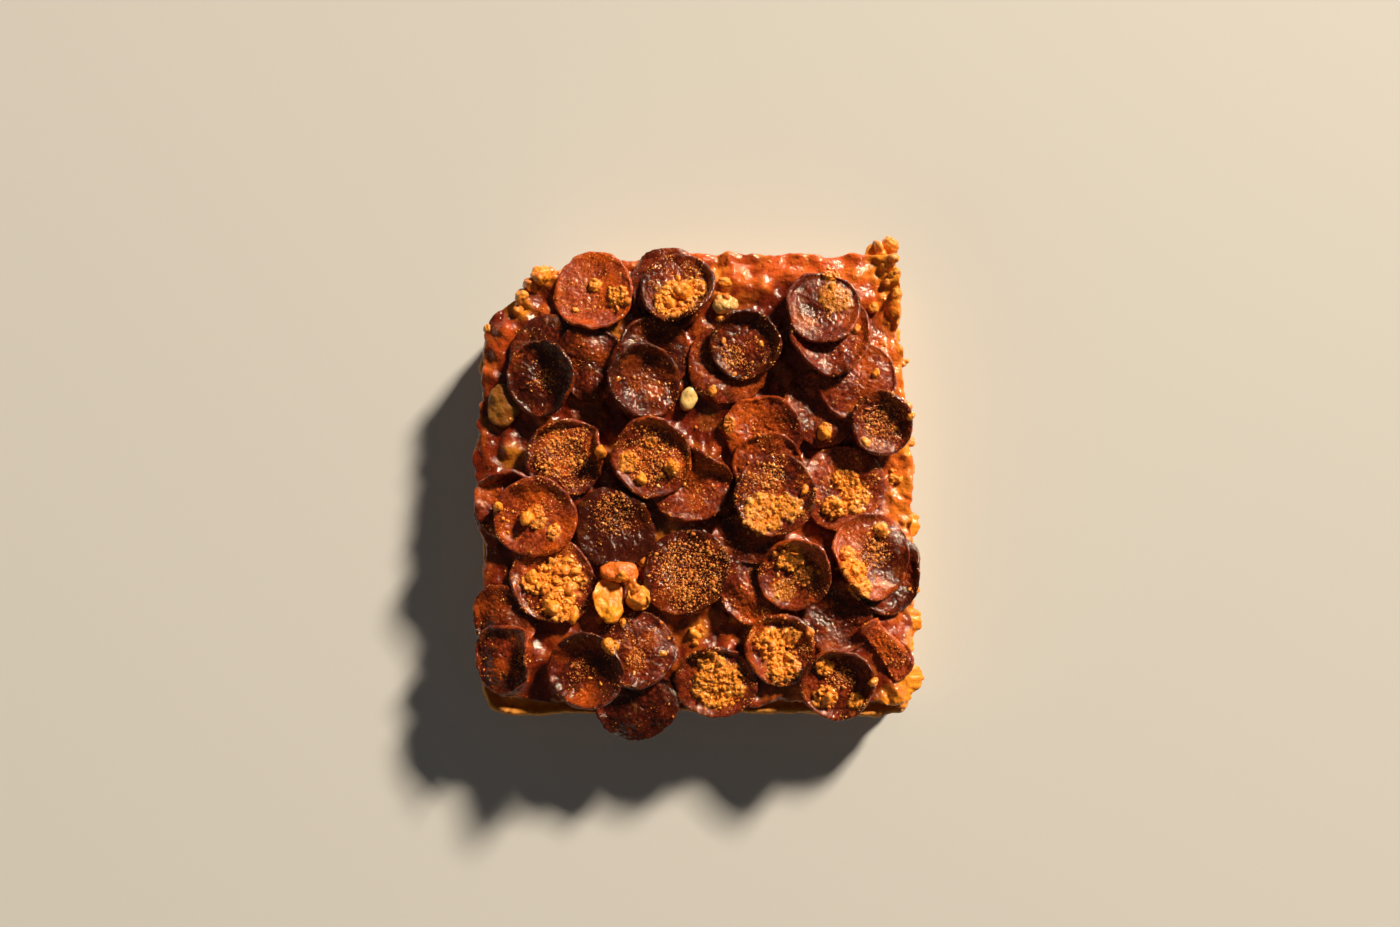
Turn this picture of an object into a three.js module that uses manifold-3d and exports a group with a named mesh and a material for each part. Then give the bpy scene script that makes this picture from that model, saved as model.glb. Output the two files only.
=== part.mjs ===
// A square slice of pan-baked pepperoni pizza: a thick slab of dough, a layer of melted cheese and a layer
// of chunky tomato sauce, with curled pepperoni heaped over the top and crumbs of hard cheese on that.
// The front (-Y) and left (-X) sides were baked against the pan and meet in a rounded corner; the back
// and right sides were cut.  Lengths are millimetres, +Z is up, and the slice rests flat on z = 0.
import * as THREE from "three";
import { mergeVertices } from "three/addons/utils/BufferGeometryUtils.js";
import Module from "manifold-3d";

const wasm = await Module();
wasm.setup();

// ---- Driving dimensions ------------------------------------------------------------------------------

const GAP = 0.4; // clearance between pieces that touch
const DOUGH_TOP = 23; // flat top of the dough, under the cheese
const CHEESE_THICKNESS = 2.3;
const SAUCE_THICKNESS = 2.0;
const SAUCE_RELIEF = 0.9; // height of the tomato lumps in the sauce
const PEPPERONI_THICKNESS = 1.6;
const RIM_INSET = 3.6; // where the baked rim, along the pan's walls, comes down to the dough's flat top
const GRID = [22, 24]; // cells of the slab along X and along Y

const CHEESE_FLOOR = DOUGH_TOP + GAP;
const CHEESE_TOP = CHEESE_FLOOR + CHEESE_THICKNESS;
const SAUCE_FLOOR = CHEESE_TOP + GAP;
const RIM_TOP = SAUCE_FLOOR - GAP;

// The slice's outline, one open curve for each side, anticlockwise from the rounded pan corner.
const SIDES = {
  front: [[-70.5, -75], [-67.5, -77.2], [-63, -78], [0, -77.3], [60, -78.6], [71, -78]],
  right: [[71, -78], [73.6, -70], [73.2, -20], [71.5, 15], [68, 45], [66.5, 77.5]],
  back: [[66.5, 77.5], [30, 76.8], [-10, 76.2], [-45, 74], [-53, 71.5], [-60, 65]],
  left: [[-60, 65], [-65.5, 60], [-72, 54], [-73, 20], [-73, -30], [-73.8, -66], [-70.5, -75]],
};

// How far the sauce stops short of the outline at the start, middle and end of each side.
const SAUCE_MARGINS = {
  front: [7.5, 4.5, 6.5],
  right: [6.0, 1.6, 1.2],
  back: [1.2, 0.2, 5.5],
  left: [5.5, 0.6, 4.5],
};

// Crisp ends of cheese that stand out of the cut edges: the side, how far along it, how far out of the
// outline the middle is, half the length and half the width.
const CRISPS = [
  ["right", 0.08, 0.3, 5.2, 2.6], ["right", 0.2, 0.2, 4.6, 2.0], ["right", 0.28, 0.3, 5.0, 1.8],
  ["right", 0.4, 0.6, 5.2, 2.4], ["right", 0.52, 0.0, 4.0, 1.8], ["right", 0.64, 0.8, 3.6, 2.6],
  ["right", 0.8, 0.1, 4.2, 1.9], ["right", 0.94, 0.4, 4.4, 2.4], ["back", 0.04, 0.6, 4.6, 2.6],
  ["back", 0.04, 3.2, 3.6, 2.0], ["back", 0.8, 0.2, 4.0, 2.2], ["back", 0.9, -0.6, 3.6, 2.6],
];

// The pepperoni, from the bottom of the heap to the top.  x, y: centre; r: radius seen from above; cup:
// how far the edge curls up.  Some also have: slope, the rise of the slice towards +X and +Y where it
// doesn't lie as it falls; limp, how far it droops where that isn't LIMPNESS; torn, the direction in
// degrees and the share of the radius missing there; crumbs, how many of middling size it holds; heap,
// the x, y and radius of larger ones.
const PEPPERONI = [
  { name: "left_edge_lower", x: -65, y: -45, r: 10.8, cup: 0.6, slope: [0.2, 0.05], limp: 5 },
  { name: "front_edge_hanging", x: -21, y: -73, r: 13.4, cup: 0.3, slope: [0, 0.05], limp: 11, crumbs: 1 },
  { name: "left_edge_middle", x: -62.5, y: -6, r: 11.8, cup: 1.0 },
  { name: "back_left_lower", x: -49, y: 43, r: 13.0, cup: 1.2 },
  { name: "back_left_gap", x: -36, y: 41, r: 12.0, cup: 0.8, crumbs: 1 },
  { name: "back_lower", x: -9.5, y: 65.5, r: 13.0, cup: 1.6 },
  { name: "back_middle_lower", x: -15.5, y: 43.5, r: 13.0, cup: 1.2, crumbs: 1 },
  { name: "back_cup_lower", x: 10.3, y: 40, r: 12.6, cup: 1.6, crumbs: 1 },
  { name: "right_stack_grey", x: 42, y: 26, r: 12.3, cup: 1.2, heap: [[42.5, 17.5, 1.8]] },
  { name: "right_stack_red", x: 53.5, y: 34, r: 13.3, cup: 1.2 },
  { name: "middle_stack_bottom", x: 22.5, y: 17.5, r: 12.4, cup: 1.2 },
  { name: "middle_right", x: 48.7, y: -1.5, r: 13.6, cup: 1.2, crumbs: 3 },
  { name: "middle_under", x: -2.3, y: 0.5, r: 13.0, cup: 1.8, crumbs: 1 },
  { name: "middle_left_dark", x: -28, y: -14.7, r: 12.8, cup: 1.4, crumbs: 2 },
  { name: "centre_shaded", x: 16, y: -22, r: 11.8, cup: 1.0, crumbs: 1 },
  { name: "centre_shaded_front", x: 18.3, y: -36, r: 11.0, cup: 1.0, crumbs: 1 },
  { name: "right_shaded", x: 47, y: -45, r: 12.0, cup: 1.0, crumbs: 1 },
  { name: "right_edge_lower", x: 61.7, y: -30, r: 13.2, cup: 1.6 },
  { name: "right_front_folded", x: 62.5, y: -55.5, r: 12.2, cup: 1.0, slope: [-0.1, 0.3], torn: [25, 0.25] },
  { name: "front_left_back", x: -20.5, y: -56, r: 12.8, cup: 2.2, crumbs: 3 },
  { name: "middle_stack_centre", x: 23.7, y: 5, r: 12.4, cup: 1.8 },
  { name: "back_left_flat", x: -34.5, y: 64, r: 13.6, cup: 0.9, crumbs: 1 },
  { name: "back_tilted", x: -5.7, y: 64.3, r: 13.2, cup: 2.4, slope: [0.2, -0.5], crumbs: 3 },
  { name: "back_right_lower", x: 44.3, y: 49.7, r: 14.1, cup: 1.4 },
  { name: "back_right_upper", x: 41.7, y: 58.9, r: 12.8, cup: 0.8, crumbs: 2 },
  { name: "back_cup", x: 16.2, y: 47, r: 12.6, cup: 5.2, crumbs: 1 },
  { name: "left_cup", x: -50.7, y: 35.3, r: 13.0, cup: 3.6, slope: [0.3, 0.1], limp: 7 },
  { name: "middle_left_cup", x: -18.8, y: 34.7, r: 12.8, cup: 4.0 },
  { name: "right_edge_small", x: 61.5, y: 20, r: 11.0, cup: 2.6, crumbs: 2, heap: [[70, 21.5, 1.9]] },
  { name: "left_folded", x: -44.7, y: 9.7, r: 13.6, cup: 2.4, crumbs: 2 },
  { name: "middle_upper", x: -15, y: 9.3, r: 13.8, cup: 2.2, crumbs: 4 },
  { name: "middle_stack_top", x: 26, y: -4, r: 13.7, cup: 2.0, crumbs: 4 },
  {
    name: "front_left_crumbed", x: -48, y: -32.5, r: 14.0, cup: 2.0, crumbs: 3,
    heap: [[-43, -41, 2.5], [-48.5, -40, 2.2], [-50, -31, 2.4], [-45, -28, 2.1]],
  },
  { name: "left_middle_upper", x: -54, y: -10.5, r: 13.4, cup: 1.6, crumbs: 1, heap: [[-56.5, -11, 2.5]] },
  { name: "centre_large", x: -3, y: -30, r: 14.4, cup: 2.2, crumbs: 3 },
  { name: "right_large", x: 56.7, y: -24, r: 14.4, cup: 1.4, torn: [222, 0.16], crumbs: 2 },
  { name: "right_middle_upper", x: 32.7, y: -29.3, r: 12.6, cup: 2.0, crumbs: 4 },
  { name: "left_edge_steep", x: -62.5, y: -58, r: 12.4, cup: 1.8, slope: [0.5, 0.08], limp: 5, crumbs: 1 },
  { name: "front_left_cup", x: -35.8, y: -61.7, r: 13.4, cup: 4.2, limp: 6, crumbs: 1 },
  { name: "front_middle", x: 6.3, y: -64.7, r: 13.0, cup: 3.0, slope: [0, 0.3], crumbs: 4 },
  { name: "front_right_crumbed", x: 27.7, y: -54.5, r: 12.2, cup: 2.2, crumbs: 4 },
  { name: "front_right_cup", x: 47, y: -65, r: 13.0, cup: 4.4, crumbs: 3 },
];

// Lumps among them.  size: length, width and height; turn: the direction of the length in degrees.
const MELTED_PATCHES = [
  { name: "cheese_patch_left", x: -65, y: 26.5, size: [15, 12, 2.6], turn: 70, look: "soft" },
  { name: "cheese_patch_back", x: 10, y: 60.5, size: [8, 5.6, 3.2], turn: 15, look: "soft" },
  { name: "garlic_piece", x: -2.8, y: 28.7, size: [9.6, 6.8, 3.6], turn: 68, look: "garlic" },
];
const LOOSE_CHUNKS = [
  { name: "cheese_chunk_golden", x: -29.3, y: -39, size: [15.5, 11, 5.0], turn: 95, look: "browned" },
  { name: "cheese_chunk_small", x: -19.6, y: -38, size: [9, 6.5, 4.0], turn: 120, look: "browned" },
  { name: "cheese_chunk_rusty", x: -26, y: -29.3, size: [13, 6.5, 3.4], turn: 172, look: "toasted" },
];

// How round pieces are divided: corners round the edge, and rings as shares of the radius.
const PEPPERONI_CORNERS = 15;
const LUMP_CORNERS = 12;
const UNDER_RINGS = [0, 0.6, 1];
const OVER_RINGS = [0, 0.45, 0.8, 1];

const TIP_RESISTANCE = 9; // the drop that is worth a slope of 1, as a slice that rests on little stays level
const SAG = 1.8; // how far a hot slice sinks, all at once, on to what is under it
const LIMPNESS = 5; // how far its parts droop after that where nothing holds them up
const DRAPE_PASSES = 60;
const REACH = 1.3; // a piece clears whatever is this close to it, seen from above
const CRUMB_RADIUS = [1.0, 1.7];
const CRUMB_SINK = 0.9; // how deep a crumb is set into its slice
const CRUMB_CLEARANCE = 0.7; // from a crumb to the next piece, seen from above

const LOOKS = {
  dough: { color: 0xc98a45, roughness: 0.8 },
  cheese: { color: 0xe2a03c, roughness: 0.5 },
  sauce: { color: 0x9c2f12, roughness: 0.3 },
  pepperoni: { color: 0x70200f, roughness: 0.4 },
  browned: { color: 0xe59a2a, roughness: 0.55 },
  toasted: { color: 0xc5541a, roughness: 0.45 },
  soft: { color: 0xc9a552, roughness: 0.4 },
  garlic: { color: 0xd9bd7a, roughness: 0.45 },
};

// ---- Small functions ---------------------------------------------------------------------------------

const { degToRad, lerp } = THREE.MathUtils;
const UP = new THREE.Vector3(0, 0, 1);

// A smooth uneven field between -1 and 1, with bumps about 5 times `scale` apart.
function wave(x, y, scale, seed) {
  const u = x / scale;
  const v = y / scale;
  const first = Math.sin(u + 1.7 * Math.sin(0.8 * v + seed) + seed);
  const second = Math.sin(1.3 * v + 1.9 * Math.sin(0.7 * u - seed) + 2.1 * seed + 1);
  return (first + second) / 2;
}

// A repeatable draw between 0 and 1 for any number `n`.
function draw(n) {
  const s = Math.sin(12.9898 * n + 4.1414) * 43758.5453;
  return s - Math.floor(s);
}

// ---- Closed triangle meshes --------------------------------------------------------------------------

class Surface {
  points = [];
  triangles = [];

  add(point) {
    return this.points.push(point) - 1;
  }

  quad(a, b, c, d) {
    this.triangles.push([a, b, c], [a, c, d]);
  }

  // Joins two closed rows of as many corners, the lower one first, with walls that face outwards.
  wall(lower, upper) {
    lower.forEach((corner, i) => {
      const next = (i + 1) % lower.length;
      this.quad(corner, lower[next], upper[next], upper[i]);
    });
  }

  // Closes a row of corners with flat triangles, facing up, or down if `down` is set.
  cap(row, down = false) {
    const outline = row.map((i) => new THREE.Vector2(this.points[i].x, this.points[i].y));
    for (const [a, b, c] of THREE.ShapeUtils.triangulateShape(outline, [])) {
      this.triangles.push(down ? [row[c], row[b], row[a]] : [row[a], row[b], row[c]]);
    }
  }

  geometry() {
    const positions = new Float32Array(this.points.flatMap((p) => [p.x, p.y, p.z]));
    return new THREE.BufferGeometry()
      .setAttribute("position", new THREE.BufferAttribute(positions, 3))
      .setIndex(this.triangles.flat());
  }
}

function solidOf(geometry) {
  const bare = geometry.clone();
  bare.deleteAttribute("normal");
  bare.deleteAttribute("uv");
  const merged = mergeVertices(bare, 1e-4);
  return new wasm.Manifold(new wasm.Mesh({
    numProp: 3,
    vertProperties: merged.attributes.position.array,
    triVerts: new Uint32Array(merged.index.array),
  }));
}

function geometryOf(solid) {
  const { vertProperties, triVerts } = solid.getMesh();
  return new THREE.BufferGeometry()
    .setAttribute("position", new THREE.BufferAttribute(vertProperties, 3))
    .setIndex(new THREE.BufferAttribute(triVerts, 1));
}

function join(solid, extras) {
  return extras.reduce((whole, extra) => whole.add(extra), solid);
}

// A small lump with 20 faces, at `centre`, with half sizes along its own X, Y and Z, turned about Z.
function nugget(centre, halfSizes, turn) {
  const geometry = new THREE.IcosahedronGeometry(1, 0)
    .rotateX(draw(centre.x))
    .scale(...halfSizes)
    .rotateZ(turn)
    .translate(centre.x, centre.y, centre.z);
  return solidOf(geometry);
}

// ---- The slab: dough, cheese and sauce ---------------------------------------------------------------

// The outline as corners with their outward normals, the side each is on and how far along it.
function outlineCorners() {
  const corners = Object.entries(SIDES).flatMap(([side, points], i) => {
    const places = points.map(([x, y]) => new THREE.Vector3(x, y, 0));
    const curve = new THREE.CatmullRomCurve3(places, false, "centripetal");
    const cells = GRID[i % 2];
    const spaced = curve.getSpacedPoints(cells).slice(0, cells);
    return spaced.map((point, k) => ({ point, side, along: k / cells }));
  });
  corners.forEach((corner, i) => {
    corner.before = corners.at(i - 1);
    corner.after = corners[(i + 1) % corners.length];
    const along = corner.after.point.clone().sub(corner.before.point);
    corner.normal = new THREE.Vector3(along.y, -along.x, 0).normalize();
  });
  return corners;
}

const OUTLINE = outlineCorners();
const isBaked = ({ side }) => side === "front" || side === "left";

// A closed row of the surface's corners: the outline moved in by inset(corner), at height(corner).
function addRow(surface, inset, height) {
  return OUTLINE.map((corner) => {
    const place = corner.point.clone().addScaledVector(corner.normal, -inset(corner));
    place.z = height(corner);
    return surface.add(place);
  });
}

// The same inset, evened out so that it doesn't jump where one side of the slice meets the next.
function evened(inset) {
  return (corner) => (inset(corner.before) + inset(corner) + inset(corner.after)) / 3;
}

function closedStack(surface, rows) {
  for (let i = 1; i < rows.length; i += 1) surface.wall(rows[i - 1], rows[i]);
  surface.cap(rows[0], true);
  return surface;
}

// Dough: a flat base with a rounded foot, walls that are smooth and end in a low rim where they were
// baked against the pan, and rough, upright walls where they were cut.
function doughSurface() {
  const surface = new Surface();
  const row = (bakedInset, cutInset, bakedHeight, cutHeight = bakedHeight) => {
    const inset = (corner) => {
      const { x, y } = corner.point;
      const roughness = (isBaked(corner) ? 0.3 : 0.7) * wave(x + 3 * cutHeight, y, 3, cutHeight);
      return (isBaked(corner) ? bakedInset : cutInset) + roughness;
    };
    return addRow(surface, inset, (corner) => (isBaked(corner) ? bakedHeight : cutHeight));
  };
  const rows = [
    row(2.4, 1.5, 0),
    row(0.9, 0.8, 1.2),
    row(0.4, 0.9, 6),
    row(0, 0.9, 12),
    row(0.2, 0.8, 18),
    row(0.6, 0.7, RIM_TOP - 1.5, DOUGH_TOP - 0.6),
    row(1.7, 1.2, RIM_TOP - 0.1, DOUGH_TOP),
    row(RIM_INSET, 2.2, DOUGH_TOP),
  ];
  closedStack(surface, rows);
  surface.cap(rows.at(-1));
  return surface;
}

function sauceMargin({ side, along }) {
  const [start, middle, end] = SAUCE_MARGINS[side];
  return along < 0.5 ? lerp(start, middle, 2 * along) : lerp(middle, end, 2 * along - 1);
}

// Cheese: an even layer that comes out at the cut sides in soft folds and stays inside the baked rim.
function cheeseInset(corner) {
  const { x, y } = corner.point;
  const fold = 0.9 * wave(x, y, 3, 2);
  const baked = Math.max(RIM_INSET + 0.4, sauceMargin(corner) - 0.8);
  return (isBaked(corner) ? baked : 0.9) + fold;
}

function cheeseSurface() {
  const surface = new Surface();
  const row = (extraInset, height) => (
    addRow(surface, (corner) => evened(cheeseInset)(corner) + extraInset, () => height)
  );
  const rows = [row(0.6, CHEESE_FLOOR), row(0, CHEESE_FLOOR + 0.55 * CHEESE_THICKNESS), row(0.8, CHEESE_TOP)];
  closedStack(surface, rows);
  surface.cap(rows.at(-1));
  return surface;
}

// The crisp ends lie level in the cheese's thickness, their length along the edge.
function cheeseCrisps() {
  return CRISPS.map(([side, along, out, length, width]) => {
    const { point, normal } = OUTLINE.find((corner) => corner.side === side && corner.along >= along);
    const centre = point.clone().addScaledVector(normal, out);
    centre.z = CHEESE_FLOOR + 0.5 * CHEESE_THICKNESS;
    return nugget(centre, [length, width, 0.5 * CHEESE_THICKNESS], Math.atan2(normal.x, -normal.y));
  });
}

// Sauce: flat underneath, with lumps of tomato on top and an uneven edge.
function sauceHeight(x, y) {
  const lumps = SAUCE_RELIEF * wave(x, y, 2.2, 7);
  const swells = 0.6 * wave(x, y, 8, 3);
  return SAUCE_FLOOR + SAUCE_THICKNESS + lumps + swells;
}

function sauceSurface() {
  const surface = new Surface();
  const row = (extraInset, height) => {
    const ragged = ({ point }) => 1.1 * wave(point.x, point.y, 2.6, 5);
    const inset = (corner) => evened(sauceMargin)(corner) + ragged(corner) + extraInset;
    return addRow(surface, inset, height);
  };
  const edgeHeight = ({ point }) => sauceHeight(point.x, point.y) - 0.7;
  const rows = [
    row(0.6, () => SAUCE_FLOOR),
    row(-0.2, () => SAUCE_FLOOR + 0.7),
    row(0.5, edgeHeight),
  ];
  closedStack(surface, rows);
  sauceTop(surface, rows.at(-1));
  return surface;
}

// Fills a closed row with a grid of cells, spread between its four sides as a Coons patch.
function sauceTop(surface, row) {
  const [nu, nv] = GRID;
  const corner = { right: nu, back: nu + nv, left: 2 * nu + nv };
  const edge = (i) => row[i % row.length];
  const at = (i) => surface.points[edge(i)];

  const place = (i, j) => {
    const u = i / nu;
    const v = j / nv;
    const point = new THREE.Vector3()
      .addScaledVector(at(i), 1 - v)
      .addScaledVector(at(corner.left - i), v)
      .addScaledVector(at(corner.left + nv - j), 1 - u)
      .addScaledVector(at(corner.right + j), u)
      .addScaledVector(at(0), -(1 - u) * (1 - v))
      .addScaledVector(at(corner.right), -u * (1 - v))
      .addScaledVector(at(corner.back), -u * v)
      .addScaledVector(at(corner.left), -(1 - u) * v);
    point.z = sauceHeight(point.x, point.y);
    return point;
  };

  const cells = [];
  for (let j = 0; j <= nv; j += 1) {
    cells.push([]);
    for (let i = 0; i <= nu; i += 1) {
      if (j === 0) cells[j].push(edge(i));
      else if (j === nv) cells[j].push(edge(corner.left - i));
      else if (i === 0) cells[j].push(edge(corner.left + nv - j));
      else if (i === nu) cells[j].push(edge(corner.right + j));
      else cells[j].push(surface.add(place(i, j)));
    }
  }
  for (let j = 0; j < nv; j += 1) {
    for (let i = 0; i < nu; i += 1) {
      surface.quad(cells[j][i], cells[j][i + 1], cells[j + 1][i + 1], cells[j + 1][i]);
    }
  }
}

// ---- The pile, seen from above: the height reached in each cell and the piece that reaches it ----------

class Pile {
  cell = 0.5;
  half = 95;
  width = Math.round((2 * this.half) / this.cell);
  heights = new Float32Array(this.width ** 2);
  owners = new Array(this.width ** 2).fill("");

  index(x, y) {
    const column = Math.floor((x + this.half) / this.cell);
    const row = Math.floor((y + this.half) / this.cell);
    return row * this.width + column;
  }

  height(x, y) {
    return this.heights[this.index(x, y)];
  }

  highestNear(x, y, radius) {
    let highest = 0;
    for (const i of this.cellsNear(x, y, radius)) highest = Math.max(highest, this.heights[i]);
    return highest;
  }

  shows(owner, x, y, radius) {
    for (const i of this.cellsNear(x, y, radius)) if (this.owners[i] !== owner) return false;
    return true;
  }

  *cellsNear(x, y, radius) {
    const span = Math.ceil(radius / this.cell);
    const middle = this.index(x, y);
    for (let row = -span; row <= span; row += 1) {
      for (let column = -span; column <= span; column += 1) {
        if (Math.hypot(row, column) * this.cell <= radius) yield middle + row * this.width + column;
      }
    }
  }

  // Lays a surface on the pile, by points spread over its triangles closer together than the cells.
  lay(surface, owner) {
    for (const corners of surface.triangles) {
      const [a, b, c] = corners.map((i) => surface.points[i]);
      const longest = Math.max(a.distanceTo(b), b.distanceTo(c), c.distanceTo(a));
      const steps = Math.ceil(longest / (0.7 * this.cell));
      for (let i = 0; i <= steps; i += 1) {
        for (let j = 0; j <= steps - i; j += 1) {
          const [u, v, w] = [i / steps, j / steps, (steps - i - j) / steps];
          const cell = this.index(u * a.x + v * b.x + w * c.x, u * a.y + v * b.y + w * c.y);
          const z = u * a.z + v * b.z + w * c.z;
          if (z > this.heights[cell]) {
            this.heights[cell] = z;
            this.owners[cell] = owner;
          }
        }
      }
    }
  }
}

// ---- Round pieces that settle on the pile ------------------------------------------------------------

// `rho` is a share of the radius and `phi` an angle, both in the piece's own frame.  A slice of pepperoni
// is a shell of even thickness with its edge curled up; a lump is a dome on a flat base.  `lifts` bends
// either over what it lies on: the rise at each of the under rings and corners.
class RoundPiece {
  constructor(spec) {
    const flat = { turn: 0, cup: 0, warp: 0, torn: [0, 0] };
    Object.assign(this, flat, { slope: null, limp: LIMPNESS, crumbs: 0, heap: [] }, spec);
    this.centre = new THREE.Vector3(spec.x, spec.y, 0);
    this.tilt = new THREE.Quaternion();
    this.lifts = UNDER_RINGS.map(() => new Array(this.corners).fill(0));
  }

  lean([towardX, towardY]) {
    this.tilt.setFromUnitVectors(UP, new THREE.Vector3(-towardX, -towardY, 1).normalize());
  }

  // How much of the full radius is there, as no slice is quite round.
  fullness(phi) {
    const [direction, share] = this.torn;
    const bite = share * Math.max(0, Math.cos(phi + this.turn - degToRad(direction))) ** 4;
    return 1 + 0.02 * Math.sin(2 * phi + this.seed) + 0.015 * Math.sin(3 * phi + 2 * this.seed) - bite;
  }

  under(rho, phi) {
    const full = rho * this.fullness(phi);
    const x = this.radii[0] * full * Math.cos(phi);
    const y = this.radii[1] * full * Math.sin(phi);
    const z = this.cup * rho ** 3 + this.warp * rho ** 2 * Math.cos(2 * phi + this.seed);
    return new THREE.Vector3(x, y, z).applyAxisAngle(UP, this.turn);
  }

  over(rho, phi) {
    const step = 0.01;
    const outward = this.under(rho, phi).sub(this.under(rho - step, phi));
    const sideways = this.under(rho, phi + step).sub(this.under(rho, phi - step));
    const normal = rho > 0 ? outward.cross(sideways).normalize() : UP;
    return this.under(rho, phi).addScaledVector(normal, this.thickness(rho));
  }

  inPlace(point) {
    return point.applyQuaternion(this.tilt).add(this.centre);
  }

  angle(corner) {
    return (2 * Math.PI * corner) / this.corners;
  }

  // The lift nodes around a spot, as [ring, corner, weight], with the spot `corner` corners round.
  nodesAround(rho, corner) {
    const outer = Math.max(1, UNDER_RINGS.findIndex((ring) => ring >= rho));
    const inner = outer - 1;
    const out = (rho - UNDER_RINGS[inner]) / (UNDER_RINGS[outer] - UNDER_RINGS[inner]);
    const first = Math.floor(corner) % this.corners;
    const second = (first + 1) % this.corners;
    const round = corner - Math.floor(corner);
    return [
      [inner, first, (1 - out) * (1 - round)], [inner, second, (1 - out) * round],
      [outer, first, out * (1 - round)], [outer, second, out * round],
    ];
  }

  liftAt(nodes) {
    return nodes.reduce((sum, [ring, corner, weight]) => sum + weight * this.lifts[ring][corner], 0);
  }

  // Spots all over the underside, each with how far it is below what it has to clear.
  shortfalls(pile) {
    const spots = [];
    for (const rho of [0, 0.2, 0.4, 0.6, 0.75, 0.9, 1]) {
      for (let corner = 0; corner < this.corners; corner += 0.5) {
        const place = this.inPlace(this.under(rho, this.angle(corner)));
        const need = pile.highestNear(place.x, place.y, REACH) + GAP - place.z;
        spots.push({ nodes: this.nodesAround(rho, corner), need });
      }
    }
    return spots;
  }

  // The height at which the centre comes to rest when the piece keeps this slope and doesn't bend.
  restingHeight(slope, pile) {
    this.lean(slope);
    this.centre.z = 0;
    return Math.max(...this.shortfalls(pile).map(({ need }) => need));
  }

  settle(pile) {
    const slope = this.slope ?? this.lowestSlope(pile);
    this.centre.z = this.restingHeight(slope, pile) - SAG;
    this.drape(this.shortfalls(pile));
  }

  // Tips the piece, step by step, for as long as that brings its centre lower by enough.
  lowestSlope(pile) {
    let slope = [0, 0];
    let lowest = this.restingHeight(slope, pile);
    for (const step of [0.16, 0.08, 0.04]) {
      for (let moved = true; moved;) {
        moved = false;
        for (const [x, y] of [[step, 0], [-step, 0], [0, step], [0, -step]]) {
          const trial = [slope[0] + x, slope[1] + y];
          const height = this.restingHeight(trial, pile) + TIP_RESISTANCE * Math.hypot(...trial) ** 2;
          if (height < lowest - 0.01) [slope, lowest, moved] = [trial, height, true];
        }
      }
    }
    return slope;
  }

  // Lets the piece droop, and bends it up where it would cut into the pile, evened out so that it bends
  // smoothly.  It stops drooping before the end, so that the last passes leave it clear.
  drape(spots) {
    const droop = this.limp / (0.7 * DRAPE_PASSES);
    for (let pass = 0; pass < DRAPE_PASSES; pass += 1) {
      if (pass < 0.7 * DRAPE_PASSES) this.lifts = this.lifts.map((ring) => ring.map((lift) => lift - droop));
      this.evenLifts();
      for (const { nodes, need } of spots) {
        const missing = need - this.liftAt(nodes);
        if (missing <= 0) continue;
        const weights = nodes.reduce((sum, [, , weight]) => sum + weight ** 2, 0);
        for (const [ring, corner, weight] of nodes) this.lifts[ring][corner] += (missing * weight) / weights;
      }
      this.joinCentre();
    }
  }

  evenLifts() {
    const before = this.lifts.map((ring) => [...ring]);
    for (let ring = 1; ring < this.lifts.length; ring += 1) {
      for (let corner = 0; corner < this.corners; corner += 1) {
        const next = before[ring][(corner + 1) % this.corners];
        const last = before[ring].at(corner - 1);
        const inner = before[ring - 1][corner];
        this.lifts[ring][corner] = 0.5 * before[ring][corner] + 0.2 * (next + last) + 0.1 * inner;
      }
    }
  }

  // The centre is one point, so its lift is the same at every corner.
  joinCentre() {
    this.lifts[0].fill(Math.max(...this.lifts[0]));
  }

  surface() {
    const surface = new Surface();
    const ring = (face, rho) => {
      const corners = rho > 0 ? [...Array(this.corners).keys()] : [0];
      return corners.map((corner) => {
        const place = this.inPlace(face(rho, this.angle(corner)));
        place.z += this.liftAt(this.nodesAround(rho, corner));
        return surface.add(place);
      });
    };
    const under = UNDER_RINGS.map((rho) => ring((...at) => this.under(...at), rho));
    const over = OVER_RINGS.map((rho) => ring((...at) => this.over(...at), rho));
    this.fan(surface, under[0][0], under[1], true);
    for (let i = 2; i < under.length; i += 1) surface.wall(under[i - 1], under[i]);
    surface.wall(under.at(-1), over.at(-1));
    for (let i = over.length - 1; i > 1; i -= 1) surface.wall(over[i], over[i - 1]);
    this.fan(surface, over[0][0], over[1], false);
    return surface;
  }

  fan(surface, middle, row, down) {
    row.forEach((corner, i) => {
      const next = row[(i + 1) % row.length];
      surface.triangles.push(down ? [middle, next, corner] : [middle, corner, next]);
    });
  }
}

function pepperoniSlice(spec, i) {
  return new RoundPiece({
    ...spec,
    name: "pepperoni_" + spec.name,
    look: "pepperoni",
    corners: PEPPERONI_CORNERS,
    radii: [spec.r, spec.r],
    thickness: () => PEPPERONI_THICKNESS,
    warp: 0.5 + 0.5 * draw(i),
    turn: 2 * Math.PI * draw(i + 0.5),
    seed: i + 1,
  });
}

function lump(spec, i) {
  const [length, width, height] = spec.size;
  return new RoundPiece({
    ...spec,
    corners: LUMP_CORNERS,
    radii: [length / 2, width / 2],
    thickness: (rho) => height * (0.25 + 0.75 * Math.sqrt(1 - 0.9 * rho ** 2)),
    turn: degToRad(spec.turn),
    seed: i + 50,
  });
}

// ---- Crumbs of hard cheese, set into the top of a slice wherever nothing else is near -----------------

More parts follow.
